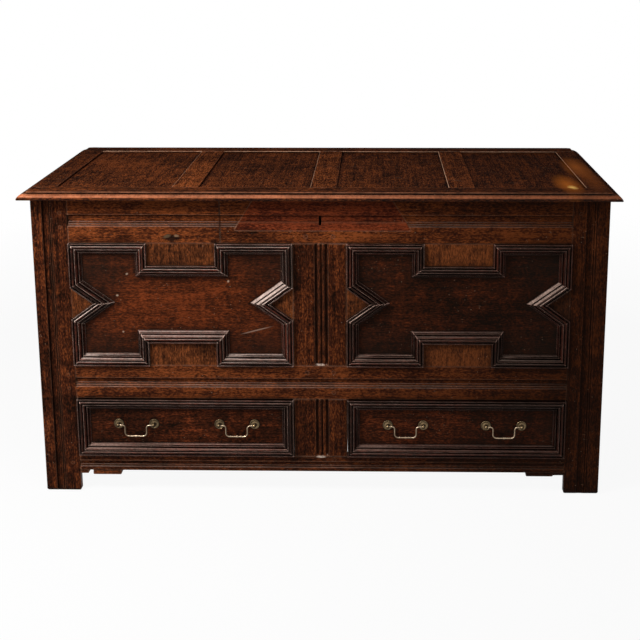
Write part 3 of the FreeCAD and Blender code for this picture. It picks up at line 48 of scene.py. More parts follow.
LOG = logging.getLogger("mule_chest")
MM = 0.001
Triple = tuple[float, float, float]
Colour = Triple
Socket = bpy.types.NodeSocket
Outputs = bpy.types.NodeOutputs
Value = Socket | float | Triple

# Attributes that each board's mesh carries for its finish.
GRAIN_PLACE = "grain_place"
BOARD_TONE = "board_tone"
DRY_FACE = "dry_face"

# The side that the painted highlights face: slopes that face up, to the left and forward are painted pale, as
# where the light catches them.
HIGHLIGHT_FROM = (-0.45, -0.55, 0.70)


class Slot(Enum):
    """The record's material slots."""

    FRAME = "frame_oak"
    PANEL = "panel_oak"
    MOULDING = "moulding_oak"
    LID = "lid_oak"
    REPAIR = "repair_oak"
    INNER = "inner_oak"
    BRASS = "brass"
    IRON = "iron"


class Dry(Enum):
    """The side of a board that was never polished, as the direction that it faces."""

    NONE = (0.0, 0.0, 0.0)
    BEHIND = (0.0, 1.0, 0.0)
    BELOW = (0.0, 0.0, -1.0)
    FROM_LEFT_WALL = (1.0, 0.0, 0.0)
    FROM_RIGHT_WALL = (-1.0, 0.0, 0.0)
    FROM_LEFT_CORNER = (0.7071, -0.7071, 0.0)
    FROM_RIGHT_CORNER = (-0.7071, -0.7071, 0.0)


def srgb(red: int, green: int, blue: int) -> Colour:
    """Turns a colour as seen on a screen into the linear values that a shader takes.

    Args:
        red: Red from 0 to 255.
        green: Green from 0 to 255.
        blue: Blue from 0 to 255.

    Returns:
        The linear colour.
    """
    parts = (red / 255, green / 255, blue / 255)
    return tuple(c / 12.92 if c <= 0.04045 else ((c + 0.055) / 1.055) ** 2.4 for c in parts)


# ---- shader nodes
class Tree:
    """A shader node tree, written as plain calls on its sockets."""

    def __init__(self, tree: bpy.types.NodeTree) -> None:
        """Keeps the tree that nodes are added to."""
        self.tree = tree

    def add(self, kind: str, inputs: dict[str | int, Value] | None = None,
            **settings: object) -> bpy.types.Node:
        """Adds a node.

        Args:
            kind: The node's type, less its ShaderNode start.
            inputs: Values or sockets by input name or number.
            settings: The node's own settings.

        Returns:
            The new node.
        """
        node = self.tree.nodes.new("ShaderNode" + kind)
        for name, value in settings.items():
            setattr(node, name, value)
        for key, value in (inputs or {}).items():
            self.feed(node.inputs[key], value)
        return node

    def feed(self, target: Socket, value: Value) -> None:
        """Links a socket to an input, or sets the input to a plain value or colour.

        Args:
            target: The input.
            value: A socket, a number, a vector or a colour.
        """
        if isinstance(value, Socket):
            self.tree.links.new(value, target)
        elif isinstance(value, tuple) and target.type == "RGBA":
            target.default_value = (*value, 1.0)
        else:
            target.default_value = value

    def close(self, kind: str, shader: Socket) -> None:
        """Links the last shader to the output of a Material or a World."""
        self.feed(self.add("Output" + kind).inputs["Surface"], shader)

    def math(self, operation: str, *values: Value, clamp: bool = False) -> Socket:
        """The result of a Math node on one to three values."""
        return self.add("Math", dict(enumerate(values)), operation=operation, use_clamp=clamp).outputs[0]

    def vector(self, operation: str, *values: Value) -> Socket:
        """The vector that a Vector Math node makes."""
        return self.add("VectorMath", dict(enumerate(values)), operation=operation).outputs[0]

    def scaled(self, vector: Socket, factor: Value) -> Socket:
        """A vector times a number."""
        return self.add("VectorMath", {0: vector, 3: factor}, operation="SCALE").outputs[0]

    def less(self, value: Value) -> Socket:
        """What is left of 1 after a value."""
        return self.math("SUBTRACT", 1.0, value)

    def total(self, *parts: tuple[Socket, float], clamp: bool = False) -> Socket:
        """Adds masks up, each times its own share.

        Args:
            parts: Masks and their shares, which may be negative.
            clamp: Whether the sum is held between 0 and 1.

        Returns:
            The sum.
        """
        (mask, share), *others = parts
        result = self.math("MULTIPLY", mask, share)
        for number, (mask, share) in enumerate(others, 1):
            result = self.math("MULTIPLY_ADD", mask, share, result, clamp=clamp and number == len(others))
        return result

    def stretch(self, value: Value, low: Value, high: Value, to_low: float = 0.0,
                to_high: float = 1.0) -> Socket:
        """A value's range low to high, mapped to another range and held inside it."""
        inputs = {"Value": value, "From Min": low, "From Max": high, "To Min": to_low, "To Max": to_high}
        return self.add("MapRange", inputs).outputs[0]

    def mix(self, share: Value, first: Value, second: Value) -> Socket:
        """Two colours mixed by a share of the second."""
        return self.add("Mix", {0: share, 6: first, 7: second}, data_type="RGBA").outputs[2]

    def blend(self, share: Value, first: Value, second: Value) -> Socket:
        """Two numbers mixed by a share of the second."""
        return self.add("Mix", {0: share, 2: first, 3: second}, data_type="FLOAT").outputs[0]

    def noise(self, place: Socket, scale: float, detail: float = 2.0, roughness: float = 0.5,
              distortion: float = 0.0) -> Socket:
        """The value of a noise pattern."""
        inputs = {"Vector": place, "Scale": scale, "Detail": detail, "Roughness": roughness,
                  "Distortion": distortion}
        return self.add("TexNoise", inputs).outputs[0]

    def drawn_noise(self, place: Socket, scales: Triple, *settings: float) -> Socket:
        """Noise with a scale for each axis, and settings of detail, roughness and distortion."""
        return self.noise(self.vector("MULTIPLY", place, scales), 1.0, *settings)

    def closed_in(self, reach: Value, inside: bool = False) -> Socket:
        """How much of the room within reach is taken up, outside the surface or inside it."""
        return self.less(self.add("AmbientOcclusion", {"Distance": reach}, samples=8, inside=inside,
                                  only_local=inside).outputs["AO"])

    def backdrop_rays(self) -> Socket:
        """1 for rays of the camera, gloss and clear pieces, and 0 for the light on the chest."""
        path = self.add("LightPath").outputs
        return self.math("MAXIMUM", path["Is Camera Ray"],
                         self.math("MAXIMUM", path["Is Glossy Ray"], path["Is Transmission Ray"]))


def emptied(owner: bpy.types.Material | bpy.types.World) -> Tree:
    """Takes the standard nodes out of a material or a world.

    Args:
        owner: The material or world.

    Returns:
        Its empty tree.
    """
    owner.use_nodes = True
    owner.node_tree.nodes.clear()
    return Tree(owner.node_tree)


class Effect:
    """A shader node group that several finishes share. It is built once, when it is first used."""

    name = "Effect"
    inputs: tuple[tuple[str, str, float], ...] = ()
    outputs: tuple[str, ...] = ()

    def tree(self) -> bpy.types.NodeTree:
        """Finds the group, or builds it.

        Returns:
            The node group.
        """
        found = bpy.data.node_groups.get(self.name)
        if found:
            return found
        group = bpy.data.node_groups.new(self.name, "ShaderNodeTree")
        for name, kind, value in self.inputs:
            socket = group.interface.new_socket(name, in_out="INPUT", socket_type="NodeSocket" + kind)
            if kind == "Float":
                socket.default_value = value
        for name in self.outputs:
            group.interface.new_socket(name, in_out="OUTPUT", socket_type="NodeSocketFloat")
        entry = group.nodes.new("NodeGroupInput")
        leave = group.nodes.new("NodeGroupOutput")
        for name, socket in self.wire(Tree(group), entry.outputs).items():
            group.links.new(socket, leave.inputs[name])
        return group

    def wire(self, tree: Tree, given: Outputs) -> dict[str, Socket]:
        """Adds the group's nodes, and returns its outputs by name. Each effect has its own."""
        raise NotImplementedError

    def place(self, tree: Tree, **values: Value) -> Outputs:
        """Puts the group in a material.

        Args:
            tree: The material's nodes.
            values: Values or sockets by the group's input names, in small letters.

        Returns:
            The group's outputs.
        """
        node = tree.tree.nodes.new("ShaderNodeGroup")
        node.node_tree = self.tree()
        for name, value in values.items():
            tree.feed(node.inputs[name.replace("_", " ").title()], value)
        return node.outputs


class OakGrain(Effect):
    """Growth rings, fine streaks, open pores and ray flecks of oak, along X of a board's own place."""

    name = "Oak Grain"
    inputs = (("Place", "Vector", 0.0), ("Bend", "Float", 0.02))
    outputs = ("Rings", "Streaks", "Speckle", "Pores", "Flecks")
    sway_scales = (2.5, 9.0, 9.0)
    ring_scales = (5.0, 130.0, 130.0)
    streak_scales = (20.0, 520.0, 520.0)
    speckle_scales = (130.0, 360.0, 360.0)
    pore_scales = (55.0, 1300.0, 1300.0)
    fleck_scales = (70.0, 30.0, 240.0)

    def wire(self, tree: Tree, given: Outputs) -> dict[str, Socket]:
        """Draws noise out along the board at five scales.

        Args:
            tree: The group's nodes.
            given: The group's inputs.

        Returns:
            The five masks.
        """
        swaying = tree.vector("MULTIPLY", given["Place"], self.sway_scales)
        sway = tree.add("TexNoise", {"Vector": swaying, "Scale": 1.0, "Detail": 2.0}).outputs["Color"]
        pull = tree.scaled(tree.vector("SUBTRACT", sway, (0.5, 0.5, 0.5)), given["Bend"])
        bent = tree.vector("ADD", given["Place"], pull)
        rings = tree.drawn_noise(bent, self.ring_scales, 5.0, 0.62, 0.35)
        streaks = tree.drawn_noise(bent, self.streak_scales, 3.0, 0.6)
        speckle = tree.drawn_noise(bent, self.speckle_scales, 2.0, 0.6)
        pores = tree.drawn_noise(bent, self.pore_scales, 1.0, 0.5)
        flecks = tree.drawn_noise(bent, self.fleck_scales, 2.0, 0.55, 0.6)
        early_wood = tree.math("ADD", tree.stretch(rings, 0.42, 0.62), 0.25)
        open_pores = tree.math("MULTIPLY", tree.stretch(pores, 0.58, 0.68), early_wood, clamp=True)
        return {"Rings": tree.stretch(rings, 0.28, 0.72), "Streaks": streaks,
                "Speckle": tree.stretch(speckle, 0.32, 0.68), "Pores": open_pores,
                "Flecks": tree.stretch(flecks, 0.60, 0.72)}


class WornEdges(Effect):
    """Outer arrises, rubbed through by handling and broken up along their length."""

    name = "Worn Edges"
    inputs = (("Place", "Vector", 0.0), ("Width", "Float", 0.004), ("Patchiness", "Float", 0.5))
    outputs = ("Edge",)
    patch_scale = 38.0

    def wire(self, tree: Tree, given: Outputs) -> dict[str, Socket]:
        """Finds where the wood behind the surface is thin, as it is near an arris.

        Args:
            tree: The group's nodes.
            given: The group's inputs.

        Returns:
            The mask of the worn arrises.
        """
        near = tree.stretch(tree.closed_in(given["Width"], inside=True), 0.10, 0.55)
        patches = tree.stretch(tree.noise(given["Place"], self.patch_scale, 4.0, 0.65), 0.36, 0.60)
        kept = tree.blend(given["Patchiness"], 1.0, patches)
        return {"Edge": tree.math("MULTIPLY", near, kept, clamp=True)}


class CornerDirtAndShade(Effect):
    """Old wax and dirt in corners, quirks and round mouldings, together with painted shade there and under
    overhangs.
    """

    name = "Corner Dirt And Shade"
    inputs = (("Place", "Vector", 0.0), ("Reach", "Float", 0.02), ("Quirk Reach", "Float", 0.005),
              ("Start", "Float", 0.06), ("Full", "Float", 0.52))
    outputs = ("Dirt", "Quirk")
    uneven_scale = 24.0

    def wire(self, tree: Tree, given: Outputs) -> dict[str, Socket]:
        """Measures how closed in the surface is, widely and closely.

        Args:
            tree: The group's nodes.
            given: The group's inputs.

        Returns:
            A broad mask and one for the narrow quirks.
        """
        wide = tree.stretch(tree.closed_in(given["Reach"]), given["Start"], given["Full"])
        uneven = tree.noise(given["Place"], self.uneven_scale, 3.0, 0.6)
        dirt = tree.math("MULTIPLY", wide, tree.stretch(uneven, 0.25, 0.75, 0.55, 1.15), clamp=True)
        return {"Dirt": dirt, "Quirk": tree.stretch(tree.closed_in(given["Quirk Reach"]), 0.12, 0.55)}


class Knocks(Effect):
    """Small dents, pale pits and short scratches from three centuries of use."""

    name = "Knocks"
    inputs = (("Place", "Vector", 0.0), ("Amount", "Float", 0.5))
    outputs = ("Pits", "Dents", "Scratches")
    wear_scale = 11.0
    pit_scale = 95.0
    dent_scale = 26.0
    scratch_scales = (7.0, 260.0, 260.0)
    scratch_turn = 0.5

    def wire(self, tree: Tree, given: Outputs) -> dict[str, Socket]:
        """Scatters cells of two sizes and thin lines, and keeps some of them.

        Args:
            tree: The group's nodes.
            given: The group's inputs.

        Returns:
            Masks of the pits, the dents and the scratches.
        """
        field_of_wear = tree.noise(given["Place"], self.wear_scale, 3.0, 0.6)
        chosen = tree.math("MULTIPLY", tree.stretch(field_of_wear, 0.45, 0.65), given["Amount"])
        small = tree.add("TexVoronoi", {"Vector": given["Place"], "Scale": self.pit_scale}).outputs
        pitted = tree.math("LESS_THAN", tree.add("SeparateColor", {0: small["Color"]}).outputs[0], chosen)
        pits = tree.math("MULTIPLY", tree.stretch(small["Distance"], 0.13, 0.06), pitted)
        large = tree.add("TexVoronoi", {"Vector": given["Place"], "Scale": self.dent_scale}).outputs
        struck = tree.math("LESS_THAN", tree.add("SeparateColor", {0: large["Color"]}).outputs[1], chosen)
        dents = tree.math("MULTIPLY", tree.stretch(large["Distance"], 0.22, 0.02), struck)
        turned = tree.add("VectorRotate", {"Vector": given["Place"], "Angle": self.scratch_turn},
                          rotation_type="Z_AXIS").outputs[0]
        lines = tree.drawn_noise(turned, self.scratch_scales, 1.0, 0.4)
        scratches = tree.math("MULTIPLY", tree.stretch(lines, 0.725, 0.76), chosen)
        return {"Pits": pits, "Dents": dents, "Scratches": scratches}


class Patina(Effect):
    """Broad clouds of darker and lighter polish over whole boards, and painted shade that darkens the chest
    towards the right and the bottom.
    """

    name = "Patina"
    inputs = (("Place", "Vector", 0.0), ("Scale", "Float", 5.0))
    outputs = ("Cloud", "Blotch", "Ripple", "Shade")
    shade_slope = -0.5
    shade_start = -0.25
    shade_full = 0.42

    def wire(self, tree: Tree, given: Outputs) -> dict[str, Socket]:
        """Layers soft noise at three sizes.

        Args:
            tree: The group's nodes.
            given: The group's inputs.

        Returns:
            Masks of the clouds, the blotches, the ripple of hand-planed wood and the painted shade towards
            the right and the bottom.
        """
        place = tree.scaled(given["Place"], given["Scale"])
        cloud = tree.stretch(tree.noise(place, 1.0, 4.0, 0.6, 0.4), 0.30, 0.70)
        blotch = tree.stretch(tree.noise(place, 6.0, 5.0, 0.68, 0.8), 0.34, 0.68)
        ripple = tree.noise(place, 2.6, 1.0, 0.5)
        # Painted shade: darker towards the right and the bottom of the chest, where the light falls off.
        across = tree.add("SeparateXYZ", {0: given["Place"]}).outputs
        rightward = tree.math("MULTIPLY_ADD", across["Z"], self.shade_slope, across["X"])
        shade = tree.stretch(rightward, self.shade_start, self.shade_full)
        return {"Cloud": cloud, "Blotch": blotch, "Ripple": ripple, "Shade": shade}


class PaintedHighlight(Effect):
    """Painted highlight: slopes that face one side are made pale, where the light catches them."""

    name = "Painted Highlight Side"
    inputs = (("Place", "Vector", 0.0), ("Facing", "Vector", 0.0), ("Side", "Vector", 0.0),
              ("Start", "Float", 0.7), ("Full", "Float", 0.95))
    outputs = ("Painted Highlight",)
    broad_scale = 13.0
    fine_scale = 150.0

    def wire(self, tree: Tree, given: Outputs) -> dict[str, Socket]:
        """Breaks the slopes' own mask up with noise at two sizes.

        Args:
            tree: The group's nodes.
            given: The group's inputs.

        Returns:
            The mask of the painted highlight on the slopes.
        """
        aimed = tree.add("VectorMath", {0: given["Facing"], 1: given["Side"]},
                         operation="DOT_PRODUCT").outputs["Value"]
        slope = tree.stretch(aimed, given["Start"], given["Full"])
        broad = tree.stretch(tree.noise(given["Place"], self.broad_scale, 3.0, 0.6), 0.34, 0.62, 0.5, 1.0)
        fine = tree.stretch(tree.noise(given["Place"], self.fine_scale, 3.0, 0.7), 0.30, 0.60, 0.45, 1.0)
        return {"Painted Highlight": tree.math("MULTIPLY", slope, tree.math("MULTIPLY", broad, fine), clamp=True)}


class LocalMark(Effect):
    """One spot, scratch or stain at a place of its own, ragged at its rim."""

    name = "Local Mark"
    inputs = (("Place", "Vector", 0.0), ("Centre", "Vector", 0.0), ("Span", "Vector", 0.0),
              ("Lean", "Float", 0.0), ("Ragged", "Float", 0.5), ("Core", "Float", 0.5))
    outputs = ("Mark",)
    rim_scale = 240.0

    def wire(self, tree: Tree, given: Outputs) -> dict[str, Socket]:
        """Measures the distance from the centre in units of the span.

        Args:
            tree: The group's nodes.
            given: The group's inputs.

        Returns:
            The mask of the mark.
        """
        away = tree.vector("SUBTRACT", given["Place"], given["Centre"])
        turned = tree.add("VectorRotate", {"Vector": away, "Angle": given["Lean"]},
                          rotation_type="Y_AXIS").outputs[0]
        reach = tree.add("VectorMath", {0: tree.vector("DIVIDE", turned, given["Span"])},
                         operation="LENGTH").outputs["Value"]
        rim = tree.math("SUBTRACT", tree.noise(given["Place"], self.rim_scale, 3.0, 0.7), 0.5)
        ragged = tree.math("MULTIPLY_ADD", rim, given["Ragged"], reach)
        return {"Mark": tree.stretch(ragged, 1.0, given["Core"])}


# ---- finishes
@dataclass(frozen=True)
class Mark:
    """One mark on a finish: where it is, how far it reaches and what colour it has."""

    centre: Triple
    span: Triple
    colour: Colour
    share: float = 0.8
    lean: float = 0.0
    ragged: float = 0.5
    core: float = 0.5


@dataclass(frozen=True, kw_only=True)
class Finish:
    """A finish, which makes its own material. Its title tells finishes of one slot apart."""

    slot: Slot
    title: str = ""
    relief: float = 0.35 * MM

    def material(self) -> bpy.types.Material:
        """Finds the finish's material, or makes it.

        Returns:
            The material.
        """
        name = (self.title or self.slot.value) + "_finish"
        found = bpy.data.materials.get(name)
        if not found:
            found = bpy.data.materials.new(name)
            self.wire(emptied(found))
        return found

    def wire(self, tree: Tree) -> None:
        """Adds the finish's nodes to its material. Each kind of finish has its own."""
        raise NotImplementedError


@dataclass(frozen=True)
class OakFace:
    """What the shared effects find on an oak surface, for its finish to work with."""

    whole: Socket
    tone: Socket
    dry: Socket
    edge: Socket
    scars: Socket
    grain: Outputs
    patina: Outputs
    # Dirt together with painted shade in corners and quirks.
    dirt: Outputs
    knocks: Outputs


@dataclass(frozen=True, kw_only=True)
class OakFinish(Finish):
    """One finish of old oak: its colours, its grain, its polish and how it has aged."""

    # Colours, from the grain's darkest lines to its lightest, and of wear, painted highlights, dirt (also
    # used for painted shade) and unpolished wood.
    deep: Colour
    body: Colour
    glow: Colour
    worn: Colour
    painted_highlight: Colour = srgb(150, 126, 116)
    dirt: Colour = srgb(7, 4, 3)
    pale: Colour = srgb(150, 122, 100)
    dry: Colour = srgb(88, 66, 48)
    dry_light: Colour = srgb(132, 104, 78)
    # Where deep, body and glow lie on the ramp, and how far the grain's middle is shifted to it.
    stops: Triple = (0.24, 0.50, 0.78)
    shift: float = 0.30
    # How much each part of the grain shows.
    figure: float = 0.34
    speckle: float = 0.34
    clouds: float = 0.20
    blotches: float = 0.22
    board_tones: float = 0.12
    flecks: float = 0.22
    pores: float = 0.72
    dry_rings: float = 0.5
    dry_streaks: float = 0.7
    dry_pores: float = 0.5
    # Polish: its range, what dulls it, and how far rubbing keeps an arris bright.
    glossy: float = 0.30
    dull: float = 0.56
    blotch_matt: float = 0.45
    dirt_matt: float = 0.7
    pore_matt: float = 0.5
    edge_shine: float = 0.35
    dry_rough: float = 0.82
    coat: float = 0.0
    coat_rough: float = 0.24
    coat_falloff: float = 1.6
    specular: float = 0.06
    tint: Colour = (1.0, 0.6, 0.45)
    # Worn arrises, dirt with painted shade in corners, painted shade towards the right and the bottom, knocks
    # and the marks that this finish alone has, some of them painted light.
    edge_width: float = 4.5 * MM
    edge_share: float = 0.75
    patchiness: float = 0.7
    dirt_shade_reach: float = 26 * MM
    dirt_shade_start: float = 0.06
    dirt_shade_full: float = 0.52
    dirt_shade_share: float = 0.94
    quirk_reach: float = 5 * MM
    quirk_share: float = 0.85
    quirk_in_highlight: float = 0.8
    age: float = 0.6
    knocks: float = 0.45
    scar_share: float = 0.6
    spots: tuple[Mark, ...] = ()
    # Painted highlights: pale slopes that face one side.
    highlight_share: float = 0.0
    bloom_side: Triple = HIGHLIGHT_FROM
    highlight_start: float = 0.82
    highlight_full: float = 0.96
    # Relief, in parts of its depth, and the radius that every arris and quirk seems to have.
    bump: float = 0.75
    streak_height: float = 0.35
    ripple_height: float = 1.6
    pore_depth: float = 0.45
    dent_depth: float = 1.3
    scar_depth: float = 0.8
    rounding: float = 0.9 * MM

    def wire(self, tree: Tree) -> None:
        """Adds the finish's nodes to its material.

        Args:
            tree: The material's nodes.
        """
        face = self.survey(tree)
        colour = self.marked(tree, face, self.aged(tree, face, self.wood(tree, face)))
        rounded = tree.add("Bevel", {"Radius": self.rounding}, samples=4).outputs[0]
        normal = tree.add("Bump", {"Strength": self.bump, "Distance": self.relief,
                                   "Height": self.height(tree, face), "Normal": rounded}).outputs[0]
        skin = tree.add("BsdfPrincipled", {
            "Base Color": colour, "Roughness": self.roughness(tree, face), "Normal": normal,
            "Specular IOR Level": self.specular, "Specular Tint": self.tint,
            "Coat Roughness": self.coat_rough})
        if self.coat:
            tree.feed(skin.inputs["Coat Weight"], self.polish(tree, face))
        tree.close("Material", skin.outputs[0])

    def survey(self, tree: Tree) -> OakFace:
        """Places the shared effects with this finish's values.

        Args:
            tree: The material's nodes.

        Returns:
            What the effects find.
        """
        whole = tree.add("TexCoord").outputs["Object"]
        board = tree.add("Attribute", attribute_name=GRAIN_PLACE).outputs["Vector"]
        knocks = Knocks().place(tree, place=whole, amount=self.knocks)
        return OakFace(
            whole=whole,
            tone=tree.add("Attribute", attribute_name=BOARD_TONE).outputs["Fac"],
            dry=tree.add("Attribute", attribute_name=DRY_FACE).outputs["Fac"],
            edge=WornEdges().place(tree, place=whole, width=self.edge_width,
                                   patchiness=self.patchiness)["Edge"],
            scars=tree.math("MAXIMUM", knocks["Pits"], knocks["Scratches"]),
            grain=OakGrain().place(tree, place=board),
            patina=Patina().place(tree, place=whole),
            dirt=CornerDirtAndShade().place(tree, place=whole, reach=self.dirt_shade_reach, quirk_reach=self.quirk_reach,
                                    start=self.dirt_shade_start, full=self.dirt_shade_full),
            knocks=knocks)

    def wood(self, tree: Tree, face: OakFace) -> Socket:
        """Colours the grain, polished or dry.

        Args:
            tree: The material's nodes.
            face: What the effects find.

        Returns:
            The wood's colour.
        """
        grain, patina = face.grain, face.patina
        level = tree.total((grain["Rings"], self.figure), (patina["Cloud"], self.clouds),
                           (grain["Streaks"], self.figure), (grain["Speckle"], self.speckle),
                           (patina["Blotch"], self.blotches), (face.tone, self.board_tones))
        centred = tree.math("SUBTRACT", level, self.figure + self.speckle / 2 - self.shift)
        ramp = tree.add("ValToRGB", {0: centred})
        self.colour_stops(ramp.color_ramp)
        colour = tree.mix(tree.math("MULTIPLY", grain["Flecks"], self.flecks), ramp.outputs[0], self.glow)
        colour = tree.mix(tree.math("MULTIPLY", grain["Pores"], self.pores), colour, self.deep)
        light = tree.total((grain["Rings"], self.dry_rings), (grain["Streaks"], self.dry_streaks))
        dry = tree.mix(light, self.dry, self.dry_light)
        dry = tree.mix(tree.math("MULTIPLY", grain["Pores"], self.dry_pores), dry, self.dirt)
        return tree.mix(face.dry, colour, dry)

    def aged(self, tree: Tree, face: OakFace, colour: Socket) -> Socket:
        """Lays dirt with painted shade in corners, painted highlights on slopes, worn arrises and painted
        shade towards the right and the bottom over the wood.

        Args:
            tree: The material's nodes.
            face: What the effects find.
            colour: The colour so far.

        Returns:
            The aged colour.
        """
        # Dirt together with painted shade in corners, quirks and under overhangs.
        colour = tree.mix(tree.math("MULTIPLY", face.dirt["Dirt"], self.dirt_shade_share), colour, self.dirt)
        colour = tree.mix(tree.math("MULTIPLY", face.dirt["Quirk"], self.quirk_share), colour, self.dirt)
        # Painted highlight: pale colour on slopes that face the light.
        if self.highlight_share:
            facing = tree.add("TexCoord").outputs["Normal"]
            rubbed = PaintedHighlight().place(tree, place=face.whole, facing=facing, side=self.bloom_side,
                                        start=self.highlight_start, full=self.highlight_full)["Painted Highlight"]
            clean = tree.less(tree.math("MULTIPLY", face.dirt["Quirk"], self.quirk_in_highlight))
            share = tree.math("MULTIPLY", rubbed, tree.math("MULTIPLY", clean, self.highlight_share))
            colour = tree.mix(share, colour, self.painted_highlight)
        colour = tree.mix(tree.math("MULTIPLY", face.edge, self.edge_share), colour, self.worn)
        # Painted shade: darker towards the right and the bottom.
        return tree.mix(tree.math("MULTIPLY", face.patina["Shade"], self.age), colour, self.dirt)

    def marked(self, tree: Tree, face: OakFace, colour: Socket) -> Socket:
        """Adds the pale pits and scratches, and this finish's own marks on its polished sides, among them
        painted highlights, painted shade and a painted reflection.

        Args:
            tree: The material's nodes.
            face: What the effects find.
            colour: The colour so far.

        Returns:
            The colour with its marks.
        """
        colour = tree.mix(tree.math("MULTIPLY", face.scars, self.scar_share), colour, self.pale)
        polished = tree.less(face.dry)
        for spot in self.spots:
            found = LocalMark().place(tree, place=face.whole, centre=spot.centre, span=spot.span,
                                      lean=spot.lean, ragged=spot.ragged, core=spot.core)["Mark"]
            share = tree.math("MULTIPLY", tree.math("MULTIPLY", found, spot.share), polished)
            colour = tree.mix(share, colour, spot.colour)
        return colour

    def roughness(self, tree: Tree, face: OakFace) -> Socket:
        """Dulls blotches, dirt and pores, and leaves rubbed arrises smooth.

        Args:
            tree: The material's nodes.
            face: What the effects find.

        Returns:
            The roughness.
        """
        matt = tree.total((face.patina["Blotch"], self.blotch_matt), (face.dirt["Dirt"], self.dirt_matt),
                          (face.grain["Pores"], self.pore_matt), (face.edge, -self.edge_shine), clamp=True)
        return tree.blend(face.dry, tree.blend(matt, self.glossy, self.dull), self.dry_rough)

    def height(self, tree: Tree, face: OakFace) -> Socket:
        """The relief of streaks and planing, less that of pores, dents and scars."""
        return tree.total(
            (face.grain["Streaks"], self.streak_height), (face.patina["Ripple"], self.ripple_height),
            (face.grain["Pores"], -self.pore_depth), (face.knocks["Dents"], -self.dent_depth),
            (face.scars, -self.scar_depth))

    def polish(self, tree: Tree, face: OakFace) -> Socket:
        """The wax coat, strongest where the surface is seen edge on, and none on dry wood.

        Args:
            tree: The material's nodes.
            face: What the effects find.

        Returns:
            The coat's weight.
        """
        open_face = tree.less(tree.add("LayerWeight", {"Blend": 0.5}).outputs["Facing"])
        coat = tree.math("MULTIPLY", tree.math("POWER", open_face, self.coat_falloff), self.coat)
        return tree.math("MULTIPLY", coat, tree.less(face.dry))

    def colour_stops(self, ramp: bpy.types.ColorRamp) -> None:
        """Sets a ramp from the deep colour over the body colour to the glow.

        Args:
            ramp: The ramp, which has its two first stops.
        """
        first, last = ramp.elements
        first.position, middle, last.position = self.stops
        first.color, last.color = (*self.deep, 1.0), (*self.glow, 1.0)
        ramp.elements.new(middle).color = (*self.body, 1.0)


@dataclass(frozen=True, kw_only=True)
class MetalFinish(Finish):
    """One finish of old metal, bright where it is rubbed and where highlights are painted on slopes facing
    the light, and dark where it has tarnished and where the other slopes take painted shade.
    """

    bright: Colour
    tarnish: Colour
    crust: Colour
    metallic: float
    glossy: float
    dull: float
    relief: float = 0.12 * MM
    bump: float = 0.6
    lit_start: float = 0.35
    lit_full: float = 0.92
    tarnish_spots: float = 0.5
    edge_width: float = 1.6 * MM
    edge_share: float = 0.3
    patchiness: float = 0.3
    dirt_shade_reach: float = 6 * MM
    quirk_reach: float = 2 * MM
    dirt_shade_share: float = 0.9
    mottle_scale: float = 260.0
    cloud_scale: float = 45.0
    pit_scale: float = 1400.0

    def wire(self, tree: Tree) -> None:
        """Adds the finish's nodes to its material.

        Args:
            tree: The material's nodes.
        """
        where = tree.add("TexCoord").outputs
        whole = where["Object"]
        edge = WornEdges().place(tree, place=whole, width=self.edge_width,
                                 patchiness=self.patchiness)["Edge"]
        dirt = CornerDirtAndShade().place(tree, place=whole, reach=self.dirt_shade_reach,
                                  quirk_reach=self.quirk_reach)["Dirt"]
        # Painted highlight: the metal is bright on slopes that face up, left and forward, and the other
        # slopes take the tarnish colour as painted shade.
        rubbed = PaintedHighlight().place(tree, place=whole, facing=where["Normal"], side=HIGHLIGHT_FROM,
                                    start=self.lit_start, full=self.lit_full)["Painted Highlight"]
        mottle = tree.noise(whole, self.mottle_scale, 4.0, 0.65, 0.5)
        cloud = tree.noise(whole, self.cloud_scale, 3.0, 0.6)
        uneven = tree.stretch(tree.total((cloud, 0.4), (mottle, 0.6)), 0.34, 0.64)
        spotted = tree.math("MULTIPLY", uneven, self.tarnish_spots)
        dark = tree.math("MAXIMUM", tree.less(rubbed), spotted)
        grime = tree.math("MULTIPLY", dirt, self.dirt_shade_share)
        colour = tree.mix(dark, self.bright, self.tarnish)
        colour = tree.mix(tree.math("MULTIPLY", edge, self.edge_share), colour, self.bright)
        colour = tree.mix(grime, colour, self.crust)
        roughness = tree.blend(tree.math("MAXIMUM", dark, grime), self.glossy, self.dull)
        pitted = tree.math("MULTIPLY_ADD", mottle, 0.8, tree.noise(whole, self.pit_scale, 2.0, 0.5))
        normal = tree.add("Bump", {"Strength": self.bump, "Distance": self.relief,
                                   "Height": pitted}).outputs[0]
        skin = tree.add("BsdfPrincipled", {"Base Color": colour, "Roughness": roughness, "Normal": normal,
                                           "Metallic": self.metallic})
        tree.close("Material", skin.outputs[0])


DARK_SPOT = srgb(13, 9, 7)
PALE_SPOT = srgb(196, 170, 146)
# Painted highlight on the sloped stops of the muntins' reeds.
STOP_HIGHLIGHT = srgb(206, 184, 168)
# Grey wax together with painted shade, for the panels' corners.
GREY_WAX_AND_SHADE = srgb(24, 19, 15)
# Painted highlight on the lid's arrises that face the light.
LID_EDGE_HIGHLIGHT = srgb(206, 164, 134)

